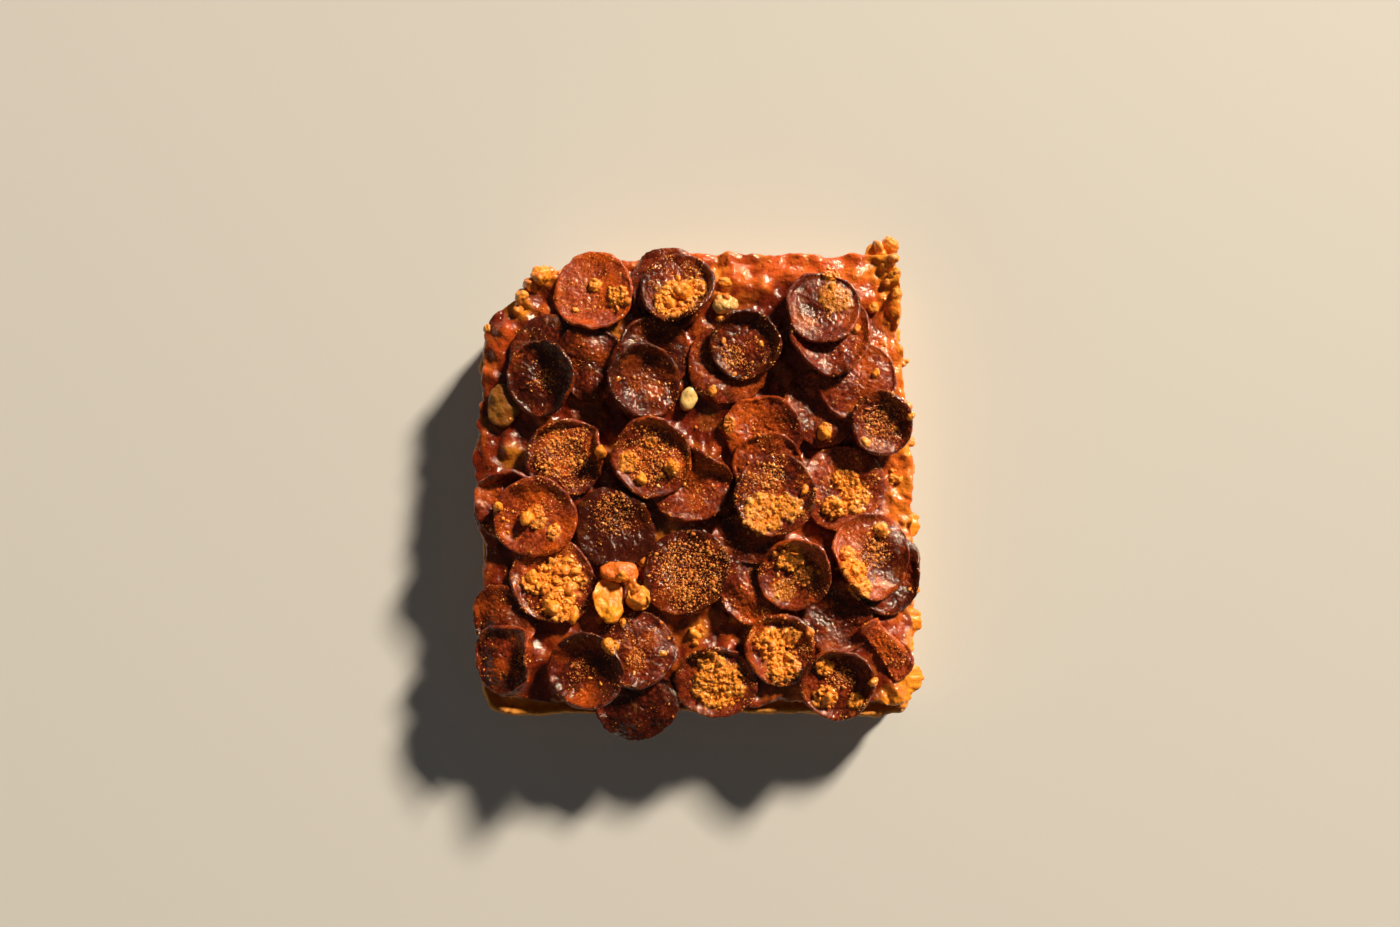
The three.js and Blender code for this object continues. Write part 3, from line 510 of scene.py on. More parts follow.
def piece_of(name, points, faces, colours, material, slot, replaced=()):
    """A smooth piece on the one body.  The attribute `tint` holds the colour of each corner, and in its
    fourth value, where there is one, how thickly the corner is strewn with grains."""
    mesh = bpy.data.meshes.new(name)
    mesh.from_pydata((points * MM).tolist(), [], faces)
    mesh.polygons.foreach_set("use_smooth", np.ones(len(mesh.polygons), bool))
    tint = mesh.color_attributes.new("tint", "FLOAT_COLOR", "POINT")
    whole = np.ones((len(colours), 4))
    whole[:, : colours.shape[1]] = colours
    tint.data.foreach_set("color", whole.ravel())
    mesh.materials.append(material)
    piece = bpy.data.objects.new(name, mesh)
    bpy.context.scene.collection.objects.link(piece)
    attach(piece, "root")
    if replaced:
        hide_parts(*replaced)
    return piece


def ringed_piece(name, rings, colours, *rest):
    """A closed piece from rings of corners, an array of rings x corners x 3."""
    faces = ring_faces(*rings.shape[:2])
    return piece_of(name, rings.reshape(-1, 3), faces, colours.reshape(-1, colours.shape[-1]), *rest)


# ---- Materials -----------------------------------------------------------------------------------------


class Material:
    """A Principled material coloured by `tint`, with noise at sizes given in mm."""

    def __init__(self, name, **constants):
        self.material = bpy.data.materials.new(name)
        self.material.use_nodes = True
        self.nodes = self.material.node_tree.nodes
        self.links = self.material.node_tree.links
        self.shader = self.nodes["Principled BSDF"]
        self.place = self.nodes.new("ShaderNodeTexCoord").outputs["Object"]
        for socket, value in constants.items():
            self.shader.inputs[socket.replace("_", " ")].default_value = value

    def noise(self, size, detail=3, roughness=0.55):
        node = self.nodes.new("ShaderNodeTexNoise")
        node.inputs["Scale"].default_value = 1 / (size * MM)
        node.inputs["Detail"].default_value = detail
        node.inputs["Roughness"].default_value = roughness
        self.links.new(self.place, node.inputs["Vector"])
        return node.outputs["Fac"]

    def grains(self, size):
        """How far each place is from the middle of a grain, in grains, and a colour for the grain."""
        node = self.nodes.new("ShaderNodeTexVoronoi")
        node.inputs["Scale"].default_value = 1 / (size * MM)
        self.links.new(self.place, node.inputs["Vector"])
        return node.outputs["Distance"], node.outputs["Color"]

    def sum(self, first, second, kind="ADD"):
        node = self.nodes.new("ShaderNodeMath")
        node.operation = kind
        self.links.new(first, node.inputs[0])
        self.links.new(second, node.inputs[1])
        return node.outputs[0]

    def stretched(self, value, low, high, to_low=0.0, to_high=1.0):
        node = self.nodes.new("ShaderNodeMapRange")
        for socket, number in zip(("From Min", "From Max", "To Min", "To Max"), (low, high, to_low, to_high)):
            node.inputs[socket].default_value = number
        self.links.new(value, node.inputs["Value"])
        return node.outputs["Result"]

    def mixed(self, first, second, share, kind="MIX"):
        node = self.nodes.new("ShaderNodeMix")
        node.data_type = "RGBA"
        node.blend_type = kind
        for socket, value in ((6, first), (7, second), (0, share)):
            if isinstance(value, bpy.types.NodeSocket):
                self.links.new(value, node.inputs[socket])
            elif socket:
                node.inputs[socket].default_value = (*value, 1)
            else:
                node.inputs[socket].default_value = value
        return node.outputs[2]

    def tint(self, output="Color"):
        """The colour of each corner, or with "Alpha" how thickly it is strewn with grains."""
        node = self.nodes.new("ShaderNodeAttribute")
        node.attribute_name = "tint"
        return node.outputs[output]

    def coloured(self, colour):
        self.links.new(colour, self.shader.inputs["Base Color"])

    def blotched(self, patches, tone, share, where_high=False):
        """Colours it by `tint`, and by a share of that times `tone` where `patches` is low, or high."""
        toned = self.mixed(self.tint(), tone, share, "MULTIPLY")
        pair = (self.tint(), toned) if where_high else (toned, self.tint())
        self.coloured(self.mixed(*pair, patches))

    def rough(self, size, detail, low, high):
        """Roughness that wanders between `low` and `high`."""
        value = self.stretched(self.noise(size, detail), 0.35, 0.65, low, high)
        self.links.new(value, self.shader.inputs["Roughness"])

    def bump(self, value, height, normal=None):
        """A normal bent by `value`, up to `height` mm, on top of another one."""
        node = self.nodes.new("ShaderNodeBump")
        node.inputs["Strength"].default_value = 1.0
        node.inputs["Distance"].default_value = height * MM
        self.links.new(value, node.inputs["Height"])
        if normal is not None:
            self.links.new(normal, node.inputs["Normal"])
        return node.outputs["Normal"]

    def bumps(self, *layers):
        """Bump from (value, height in mm) layers, each on top of the last."""
        normal = None
        for value, height in layers:
            normal = self.bump(value, height, normal)
        self.links.new(normal, self.shader.inputs["Normal"])
        return normal

    def grease(self, normal, size, height):
        """A coat of grease with drops about `size` mm across on top of the bumps."""
        drops = self.bump(self.noise(size, 2, 0.5), height, normal)
        self.links.new(drops, self.shader.inputs["Coat Normal"])


def pepperoni_material():
    """Mottled cured meat, with fine grains of toasted cheese where it is strewn with them."""
    made = Material(
        "greasy_pepperoni", Coat_Weight=1.0, Coat_IOR=1.5, Coat_Roughness=0.06, Specular_IOR_Level=0.1,
    )
    mottled = made.stretched(made.noise(1.1, 4, 0.7), 0.38, 0.6)
    colour = made.mixed(made.tint(), (0.40, 0.22, 0.20), 0.85, "MULTIPLY")
    colour = made.mixed(colour, made.tint(), mottled)
    fat = made.stretched(made.noise(0.65, 2, 0.6), 0.54, 0.66, 0.0, 0.8)
    colour = made.mixed(colour, made.mixed(made.tint(), (1.7, 1.9, 1.9), 1.0, "MULTIPLY"), fat)
    heights = []
    clumped = made.stretched(made.noise(2.6, 4, 0.65), 0.4, 0.6, 0.0, 1.3)
    strewn = made.sum(made.tint("Alpha"), clumped, "MULTIPLY")
    for size, most in ((0.62, 0.40), (1.05, 0.34)):
        distance, tone = made.grains(size)
        reach = made.stretched(strewn, 0, 1, -0.08, most)
        height = made.stretched(made.sum(reach, distance, "SUBTRACT"), 0.0, 0.16)
        grain = made.mixed((0.74, 0.17, 0.012), (0.98, 0.50, 0.11), tone)
        colour = made.mixed(colour, grain, height)
        heights.append(height)
    made.coloured(colour)
    made.rough(1.2, 3, 0.2, 0.36)
    grainy = made.sum(*heights, "MAXIMUM")
    normal = made.bumps((made.noise(1.1, 3, 0.6), 0.25), (made.noise(0.45, 2, 0.7), 0.1), (grainy, 0.35))
    made.grease(normal, 1.4, 0.45)
    return made.material


def sauce_material():
    made = Material(
        "tomato_sauce", Coat_Weight=1.0, Coat_IOR=1.55, Coat_Roughness=0.06, Specular_IOR_Level=0.15,
        Subsurface_Weight=0.15, Subsurface_Radius=(0.003, 0.0008, 0.0003),
    )
    made.blotched(made.stretched(made.noise(2.2, 4, 0.6), 0.35, 0.65), (0.62, 0.42, 0.36), 0.6)
    made.rough(1.5, 3, 0.2, 0.36)
    normal = made.bumps((made.noise(1.9, 3, 0.55), 0.6), (made.noise(0.7, 2), 0.06))
    made.grease(normal, 2.6, 0.7)
    return made.material


def toast_material():
    made = Material(
        "toasted_cheese", Coat_Weight=1.0, Coat_IOR=1.5, Coat_Roughness=0.08,
        Subsurface_Weight=0.3, Subsurface_Radius=(0.0005, 0.0004, 0.0003),
    )
    made.blotched(made.stretched(made.noise(1.1, 3), 0.35, 0.65), (0.70, 0.48, 0.34), 0.5)
    made.rough(0.8, 2, 0.3, 0.55)
    normal = made.bumps((made.noise(0.7, 3, 0.6), 0.3), (made.noise(0.25, 2), 0.06))
    made.grease(normal, 1.2, 0.3)
    return made.material


def melted_material():
    made = Material(
        "melted_cheese", Coat_Weight=0.25, Coat_Roughness=0.2,
        Subsurface_Weight=0.15, Subsurface_Radius=(0.002, 0.001, 0.0004),
    )
    made.blotched(made.stretched(made.noise(2.5, 4, 0.6), 0.35, 0.65), (0.75, 0.52, 0.38), 0.5)
    made.rough(1.5, 3, 0.3, 0.5)
    made.bumps((made.noise(1.5, 3), 0.4), (made.noise(0.5, 2), 0.1))
    return made.material


def garlic_material():
    made = Material(
        "roast_garlic", Coat_Weight=0.4, Coat_Roughness=0.15,
        Subsurface_Weight=0.2, Subsurface_Radius=(0.002, 0.0015, 0.0008),
    )
    made.blotched(made.stretched(made.noise(3.0, 3), 0.4, 0.7), (0.85, 0.66, 0.45), 0.8, where_high=True)
    made.rough(2.0, 2, 0.25, 0.4)
    made.bumps((made.noise(2.5, 2), 0.2), (made.noise(0.6, 2), 0.03))
    return made.material


def crust_material():
    made = Material(
        "baked_dough", Coat_Weight=0.08, Coat_Roughness=0.35,
        Subsurface_Weight=0.1, Subsurface_Radius=(0.002, 0.001, 0.0005),
    )
    freckles = made.stretched(made.noise(1.3, 4, 0.65), 0.38, 0.66)
    made.blotched(freckles, (0.80, 0.66, 0.52), 0.7, where_high=True)
    made.rough(2.0, 3, 0.5, 0.75)
    made.bumps((made.noise(0.9, 4, 0.6), 0.3), (made.noise(0.3, 2), 0.08))
    return made.material


# ---- The slab: dough, cheese and sauce -----------------------------------------------------------------


def slab_centre(points):
    return (points[:, :2].min(axis=0) + points[:, :2].max(axis=0)) / 2


def slab_outline(height):
    """The dough's outline at a height, and its outward normals."""
    line = section(*solid("dough"), height)
    count = round(np.linalg.norm(np.diff(line, axis=0), axis=1).sum() / SLAB_SPACING)
    return outline_of(line, count, 4)


def level(pairs):
    """Places or directions seen from above, with a height of 0."""
    return np.column_stack([pairs, np.zeros(len(pairs))])


def cut_share(normals, places):
    """1 where the slab was cut with a knife, at the back and right, and 0 where it was baked on the pan."""
    facing = ramp(np.maximum(normals[:, 0], normals[:, 1]), 0.3, 0.75)
    return facing * (1 - ramp(-places[:, 0], 44, 52) * ramp(normals[:, 1], 0.3, 0.6))


def wall_rings(tree, outline, normals, heights, width):
    """Rings up a solid's walls, where level rays from outside meet it."""
    rings = []
    last = np.full(len(outline), float(WALL_AWAY))
    for height in heights:
        heights_here = np.broadcast_to(height, len(outline))
        starts = np.column_stack([outline + WALL_AWAY * normals, heights_here])
        distances = cast(tree, starts, level(-normals))
        distances = np.where(np.isnan(distances) | (distances > WALL_AWAY + WALL_DEEP), last, distances)
        last = distances = evened(distances, width)
        places = outline + (WALL_AWAY - distances)[:, None] * normals
        rings.append(np.column_stack([places, heights_here]))
    return np.array(rings)


def top_heights(tree, places):
    """The smoothed heights of the dough's top over a closed run of places."""
    heights = SKY - cast(tree, np.column_stack([places, np.full(len(places), SKY)]), -UP)
    return evened(np.where(np.isnan(heights), CRUST_TOP, heights), 3)


def dough_piece(material):
    tree = tree_of(solid("dough"))
    outline, normals = slab_outline(DOUGH_SECTION)
    tops = top_heights(tree, outline - CRUST_EDGE * normals) - 0.35
    shares = np.concatenate([[0.004, 0.012, 0.03, 0.055], np.linspace(0.08, 1, 42)])
    walls = wall_rings(tree, outline, normals, [share * tops for share in shares], 3)
    ledges = []
    for inset in LEDGES:
        places = outline - inset * normals
        ledges.append(np.column_stack([places, top_heights(tree, places)]))
    rings = np.concatenate([walls, np.array(ledges)])
    rings, colours = dough_finish(rings, normals, cut_share(normals, outline), len(shares))
    return ringed_piece("dough_baked", rings, colours, material, "crust", ["dough"])


def dough_finish(rings, normals, cut, wall_count):
    """Opens bubbles in the cut sides, roughens the baked ones and colours both, with painted shade that
    darkens the bubbles the deeper they go.
    """
    outward = level(normals)[None]
    height = rings[..., 2]
    on_wall = (np.arange(len(rings)) < wall_count)[:, None]
    inner = ramp(height, 0.7, 2.0) * (1 - ramp(height, 21, 23)) * on_wall
    squeezed = rings * np.array([0.85, 0.85, 1.1])
    crowded = 0.75 + 0.35 * fractal(rings, 12, 2, 8)
    squeezed = squeezed + 0.9 * warp(rings, 4, 14)
    holes = bubbles(squeezed, 8.0, 0.56, 3) * crowded
    holes = np.maximum(holes, bubbles(squeezed, 3.6, 0.6, 5))
    holes = np.maximum(holes, bubbles(squeezed, 1.7, 0.52, 7))
    crumb = holes + 0.15 * fractal(rings, 1.0, 2, 4)
    skin = 0.6 * fractal(rings, 7, 3, 1) + 0.3 * fractal(rings, 1.8, 2, 2) - 0.9 * bubbles(rings, 2.6, 0.3, 9)
    blisters = 0.7 * pebbles(rings, 6.5, 9, 0.45, 0.9) * ramp(fractal(rings, 9, 2, 10), 0, 0.5)
    shown = cut * inner
    depth = shown * crumb - (1 - shown) * (skin + blisters * (1 - cut)) * ramp(height, 0.0, 1.5)
    rings = rings - depth[..., None] * outward

    browning_and_shade = 0.36 + 0.5 * fractal(rings, 7, 3, 6) + 0.4 * ramp(-height, -4, 0) + 0.2 * blisters
    browning_and_shade += 0.35 * ramp(fractal(rings, 2.2, 3, 11), 0.1, 0.7) - 0.25 * ramp(height, 19, 24)
    baked = blend_colours(CRUST_GOLD, CRUST_BROWN, browning_and_shade)
    # Painted shade: the deeper a bubble, the darker and more golden its inside.
    deep = 0.1 + 0.8 * ramp(depth, 0.3, 2.6) + 0.2 * fractal(rings, 4, 2, 7)
    inside = blend_colours(CRUMB, CRUST_GOLD, deep)
    inside = blend_colours(inside, SAUCE_ORANGE, 0.5 * ramp(height + fractal(rings, 3, 2, 12), 20.5, 23.5))
    inside = blend_colours(inside, CRUST_BROWN, 0.85 * (1 - ramp(height, 0.8, 2.0)))
    return rings, blend_colours(baked, inside, cut * np.ones_like(height))


def cheese_piece(material):
    points, triangles = solid("cheese_layer")
    outline, normals = slab_outline(CHEESE_SECTION)
    low, high = points[:, 2].min(), points[:, 2].max()
    heights = low + (high - low) * np.array([0.06, 0.2, 0.35, 0.5, 0.65, 0.8, 0.94])
    walls = wall_rings(tree_of((points, triangles)), outline, normals, heights, 1)
    outward = level(normals)[None]
    below = walls[:1] - 6 * outward
    below[..., 2] = low
    above = np.concatenate([walls[-1:] - inset * outward for inset in (1.2, 3, 7)])
    above[..., 2] = high + 0.15
    rings = np.concatenate([below, walls, above])
    froth = 0.9 * pebbles(rings, 2.2, 21, 0.3, 0.8) + 0.3 * fractal(rings, 1.2, 2, 22) - 0.6
    middle = np.sin(np.pi * np.linspace(0, 1, len(rings)))[:, None]
    rings = rings + (froth * middle)[..., None] * outward
    rings[..., 2] += 0.35 * fractal(rings, 1.8, 2, 23) * middle
    toasted = 0.45 + 0.6 * fractal(rings, 4, 3, 24)
    colours = blend_colours(TOAST_GOLD, CRISP, toasted)
    colours = blend_colours(colours, TOAST_DEEP, ramp(fractal(rings, 3, 2, 25), 0.25, 0.9))
    return ringed_piece("cheese_layer_melted", rings, colours, material, "melted_cheese", ["cheese_layer"])


def sauce_levels(points, triangles, slices_tree):
    """Maps of the sauce's top and of how far it rises to meet the slices that lie on it."""
    low, high = points.min(axis=0), points.max(axis=0)
    tops = level_map(tree_of((points, triangles)), low, high, 1.5, SKY, -1, low[2] + 2).smoothed(1.5)
    slices = level_map(slices_tree, low, high, 1.0, CELLAR, 1, 0)
    under = slices.values > 0
    x = slices.low[0] + slices.cell * np.arange(under.shape[1])
    y = slices.low[1] + slices.cell * np.arange(under.shape[0])
    gap = slices.values - tops.at(*np.meshgrid(x, y))
    inner = LevelMap(under * 1.0, slices.low, slices.cell).smoothed(2.5).values
    reach = RIM_FILL + (FILL - RIM_FILL) * ramp(inner, 0.75, 0.98)
    lift = np.where(under, np.clip(gap, 0, reach), 0)
    return tops, LevelMap(lift, slices.low, slices.cell).smoothed(1.0)


def sauce_relief(rings):
    """How far lumps of tomato, pulp and crisp cheese stand up out of the sauce."""
    bent = rings + 2.2 * warp(rings, 8, 38)
    relief = 1.5 * pebbles(bent, 7.5, 32, 0.15, 0.85) - 0.6
    pulp = ramp(fractal(rings, 9, 2, 42), -0.3, 0.5)
    relief += pulp * (0.7 * pebbles(bent, 3.0, 33, 0.3, 0.9) - 0.2) + 0.3 * fractal(rings, 2.2, 3, 34)
    melt, golden = melt_shares(rings)
    relief += melt * golden * (1.8 * pebbles(bent, 3.8, 45, 0.2, 0.9) - 0.3)
    uneven = 0.15 * fractal(rings, 4, 2, 43)
    for x, y, radius, rise in SAUCE_LUMPS:
        relief += rise * (1 - ramp(distance_to(rings, x, y) / radius + uneven, 0.1, 1.1))
    return relief


def sauce_colours(rings, relief, share):
    """The sauce's colours, by its relief and how far out from the middle each ring is, with painted light on
    the raised lumps and along the open back and right edges, and painted shade in hollows, in the middle and
    towards the left.
    """
    open_lit_edge = ramp(share, 0.80, 0.95) * ramp(rings[..., 0] + rings[..., 1], 20, 70)
    # Painted light and shade: lighter on raised lumps and at the open back and right edges, darker in the
    # hollows, in the middle and towards the left.
    painted_light_and_tone = -0.05 - 0.1 * ramp(-rings[..., 0], 25, 60) + 0.3 * relief
    painted_light_and_tone = painted_light_and_tone + 0.5 * fractal(rings, 7, 2, 35) + 0.9 * open_lit_edge
    colours = blend_colours(SAUCE_DEEP, SAUCE_BRIGHT, painted_light_and_tone)
    # More orange oil at the open edges, which is also painted light there.
    oil_and_painted_light = 1.1 * ramp(fractal(rings, 6, 3, 36), -0.1, 0.8) * (0.25 + 0.75 * open_lit_edge)
    oil_and_painted_light += 0.5 * ramp(rings[..., 0], 55, 70) * open_lit_edge
    colours = blend_colours(colours, SAUCE_ORANGE, oil_and_painted_light)
    melt, golden = melt_shares(rings)
    crisp = blend_colours(CRISP, TOAST_DEEP, 0.15 + 0.6 * fractal(rings, 2.5, 3, 44))
    return blend_colours(colours, blend_colours(MELT, crisp, golden), 0.9 * melt)


def sauce_piece(material, slices_tree):
    points, triangles = solid("sauce_layer")
    tops, lift = sauce_levels(points, triangles, slices_tree)
    floor = points[:, 2].min()
    outline, normals = outline_of(section(points, triangles, floor + 0.6), SAUCE_CORNERS, 3)
    centre = slab_centre(points)
    edge = level(outline)
    spill = 1.3 * fractal(edge, 9, 3, 31) + 0.5 * fractal(edge, 2.5, 2, 37) + sauce_spill(outline, normals)
    outline = outline + spill[:, None] * normals
    scales = np.concatenate([[1.0, 1.007, 1.009, 1.006, 1.0, 0.993], np.linspace(0.985, 0.01, SAUCE_RINGS)])
    drops = np.concatenate([[2.8, 1.7, 1.0, 0.5, 0.25, 0.1], np.zeros(SAUCE_RINGS)])[:, None]
    flat = centre + (outline - centre)[None] * scales[:, None, None]
    heights = tops.at(flat[..., 0], flat[..., 1]) + 0.95 * lift.at(flat[..., 0], flat[..., 1])
    rings = np.concatenate([flat, heights[..., None]], axis=-1)

    relief = sauce_relief(rings)
    rings[..., 2] += relief * np.minimum(1, 1.4 - 0.5 * drops)
    drips = 1.6 * ramp(fractal(edge, 7, 2, 46), 0.0, 0.9)
    rings[..., 2] = np.maximum(rings[..., 2] - drops - drips * (drops > 1.5), floor - drips)
    bottom = rings[:1].copy()
    bottom[..., :2] = centre + (bottom[..., :2] - centre) * 0.97
    bottom[..., 2] = floor
    rings = np.concatenate([bottom, rings])
    relief = np.concatenate([relief[:1], relief])
    colours = sauce_colours(rings, relief, np.concatenate([[1.0], scales])[:, None])
    sauce = ringed_piece("sauce_layer_cooked", rings, colours, material, "tomato_sauce", ["sauce_layer"])
    return sauce, [coarse_tree(rings)]


def sauce_spill(outline, normals):
    """How far past its solid the sauce reaches: to the edge in the back left, and least in front."""
    leftward = ramp(-normals[:, 0], 0.3, 0.8) * ramp(outline[:, 1], -22, -6)
    return 0.2 + 2.2 * leftward + 0.9 * ramp(normals[:, 1], 0.4, 0.9) + 1.5 * ramp(normals[:, 0], 0.4, 0.9)


# ---- Pepperoni -----------------------------------------------------------------------------------------


def disc_waves(rho, phi):
    """Smooth shapes over a disc, as columns for least squares, that add up to any gentle bend."""
    columns = []
    for turns, powers in enumerate(((0, 2, 4, 6), (1, 3, 5), (2, 4, 6), (3, 5), (4, 6), (5,))):
        for power in powers:
            columns.append(rho**power * np.cos(turns * phi))
            if turns:
                columns.append(rho**power * np.sin(turns * phi))
    return np.stack(columns, axis=-1)


def round_waves(phi):
    """Smooth shapes round a rim, as columns for least squares."""
    waves = [wave(turns * phi) for turns in range(1, RIM_WAVES + 1) for wave in (np.cos, np.sin)]
    return np.stack([np.ones_like(phi), *waves], axis=-1)


class Sheet:
    """A smooth sheet fitted to the underside of a slice's solid.  rho is 0 in the middle and 1 at the rim."""

    def __init__(self, node):
        points, triangles = solid(node)
        corners = points[triangles]
        facing = np.cross(corners[:, 1] - corners[:, 0], corners[:, 2] - corners[:, 0])
        upward = facing[facing[:, 2] > 0.3 * np.linalg.norm(facing, axis=1)].sum(axis=0)
        self.normal = upward / np.linalg.norm(upward)
        self.across = np.cross(np.cross(self.normal, [1.0, 0, 0]), self.normal)
        self.across /= np.linalg.norm(self.across)
        self.along = np.cross(self.normal, self.across)
        self.centre = (points.min(axis=0) + points.max(axis=0)) / 2
        self.fit_rim(points, triangles)
        self.fit_bend(tree_of((points, triangles)))

    def fit_rim(self, points, triangles):
        flat = np.stack([(points - self.centre) @ self.across, (points - self.centre) @ self.along], axis=1)
        first = flat[triangles].reshape(-1, 2)
        second = flat[np.roll(triangles, -1, axis=1)].reshape(-1, 2)
        angles = np.linspace(0, TAU, 90, endpoint=False)
        reaches = []
        for angle in angles:
            direction = np.array([math.cos(angle), math.sin(angle)])
            aside = np.array([-direction[1], direction[0]])
            a, b = first @ aside, second @ aside
            crossing = (a * b <= 0) & (a != b)
            share = (a / np.where(a == b, 1, a - b))[crossing, None]
            places = first[crossing] * (1 - share) + second[crossing] * share
            reaches.append((places @ direction).max())
        self.rim = np.linalg.lstsq(round_waves(angles), np.array(reaches), rcond=None)[0]

    def fit_bend(self, tree):
        rho, phi = np.meshgrid(np.linspace(0.03, 0.95, 10), np.linspace(0, TAU, 45, endpoint=False))
        self.bend = np.zeros(disc_waves(rho, phi).shape[-1])
        starts = self.under(rho, phi) - SHEET_AWAY * self.normal
        heights = cast(tree, starts, self.normal) - SHEET_AWAY
        there = ~np.isnan(heights) & (np.abs(heights) < DEEPEST_CUP)
        self.bend = np.linalg.lstsq(disc_waves(rho, phi)[there], heights[there], rcond=None)[0]

    def settle(self, beneath):
        """Bends the sheet to touch what lies close under it, given as search trees."""
        rho, phi = np.meshgrid(np.linspace(0.05, 0.98, 8), np.linspace(0, TAU, 40, endpoint=False))
        starts = self.under(rho, phi) + HEADROOM * UP
        gaps = np.full(rho.shape, NOTHING_NEAR)
        for tree in beneath:
            gaps = np.fmin(gaps, cast(tree, starts, -UP) - HEADROOM)
        near = gaps < SETTLE_REACH
        lower = np.where(near, np.clip(gaps + TOUCH, -GIVE, SETTLE), 0) * self.normal[2]
        weight = np.where(near, 1.0, 0.3)[..., None]
        waves = disc_waves(rho, phi) * weight
        waves = waves.reshape(-1, waves.shape[-1])
        self.bend -= np.linalg.lstsq(waves, (lower * weight[..., 0]).ravel(), rcond=None)[0]

    def radius(self, phi):
        return round_waves(phi) @ self.rim

    def under(self, rho, phi):
        reach = (GROWTH * rho * self.radius(phi))[..., None]
        height = (disc_waves(rho, phi) @ self.bend)[..., None]
        flat = np.cos(phi)[..., None] * self.across + np.sin(phi)[..., None] * self.along
        return self.centre + reach * flat + height * self.normal

    def directions(self, rho, phi):
        """Unit vectors outward along the sheet and square to it."""
        step = 0.02
        inner = np.maximum(rho - step, 0.005)
        outward = self.under(inner + step, phi) - self.under(inner, phi)
        aside = np.maximum(rho, 0.05)
        sideways = self.under(aside, phi + step) - self.under(aside, phi - step)
        square = np.cross(outward, sideways)
        outward /= np.linalg.norm(outward, axis=-1, keepdims=True)
        square /= np.linalg.norm(square, axis=-1, keepdims=True)
        return outward, square


def folded(rings, sheet, folds):
    """Bends parts of a slice round a line, as a roll of radius FOLD_RADIUS."""
    for heading, start, turn in folds:
        aim = np.array([math.cos(math.radians(heading)), math.sin(math.radians(heading)), 0])
        aim -= (aim @ sheet.normal) * sheet.normal
        aim /= np.linalg.norm(aim)
        past = (rings - sheet.centre) @ aim - start
        height = (rings - sheet.centre) @ sheet.normal
        bend, side = abs(math.radians(turn)), math.copysign(1, turn)
        angle = np.clip(past / FOLD_RADIUS, 0, bend)
        beyond = np.maximum(past - FOLD_RADIUS * bend, 0)
        along = FOLD_RADIUS * np.sin(angle) + beyond * np.cos(angle) - side * height * np.sin(angle)
        up = side * (FOLD_RADIUS * (1 - np.cos(angle)) + beyond * np.sin(angle)) + height * np.cos(angle)
        moved = rings + (along - past)[..., None] * aim + (up - height)[..., None] * sheet.normal
        rings = np.where((past > 0)[..., None], moved, rings)
    return rings


def slice_rings(sheet):
    """A slice in rings: out along the underside, round the rim and back over the top, with the share of
    the radius, how far the surface is turned up, and the directions outward and square to the sheet."""
    half = 0.5 * PEPPERONI_THICKNESS
    edge = 1 - half / sheet.rim[0]
    rho = np.concatenate([
        np.linspace(0.02, edge, UNDER_STEPS), np.full(RIM_STEPS, edge), np.linspace(edge, 0.015, TOP_STEPS),
    ])
    turn = np.concatenate([
        np.full(UNDER_STEPS, -90.0), np.linspace(-90, 90, RIM_STEPS + 2)[1:-1], np.full(TOP_STEPS, 90.0),
    ])
    turn = np.radians(turn)[:, None]
    rho, phi = np.meshgrid(rho, np.linspace(0, TAU, PEPPERONI_ROUND, endpoint=False), indexing="ij")
    outward, square = sheet.directions(rho, phi)
    thin = half * (1 - 0.2 * rho**4)
    rings = sheet.under(rho, phi) + half * square
    rings += (thin * np.cos(turn))[..., None] * outward + (thin * np.sin(turn))[..., None] * square
    return rings, rho, turn, outward, square


def slice_colours(rings, rho, light, charred, near_grain):
    """Mottled meat, darker or lighter by `light`, which is partly painted shade, with patches of painted
    light (lighter, oily orange) and painted shade (darker), and a charred rim.
    """
    # `light` is partly the slice's own tone and partly painted light and shade.
    mottle = light + 0.3 * fractal(rings, 5, 3, 56) + 0.4 * (ramp(1 - near_grain, 0.2, 0.8) - 0.5)
    colours = blend_colours(PEPPERONI_DARK, PEPPERONI_MIDDLE, 2 * mottle)
    colours = blend_colours(colours, PEPPERONI_LIGHT, 2 * mottle - 1)
    oil_and_painted_light = (0.35 + light) * ramp(fractal(rings, 7, 2, 57), 0.0, 0.8) * (1 - charred)
    uneven = 0.3 * fractal(rings, 4, 2, 64)
    # Painted light and shade: lit patches turn oilier and more orange, shaded ones darker.
    for x, y, radius, painted_light in LIT_AND_SHADED_PATCHES:
        share = painted_light * (1 - ramp(distance_to(rings, x, y) / radius + uneven, 0.4, 1.2))
        oil_and_painted_light = oil_and_painted_light + 0.7 * share
        colours = blend_colours(colours, PEPPERONI_DARK, -share)
    colours = blend_colours(colours, OIL, np.minimum(oil_and_painted_light, 0.85))
    burnt = 0.8 * charred * ramp(rho + 0.1 * fractal(rings, 3, 3, 58), 0.74, 1.0) + 0.3 * ramp(rho, 0.93, 1.0)
    return blend_colours(colours, PEPPERONI_CHAR, 0.95 * burnt)


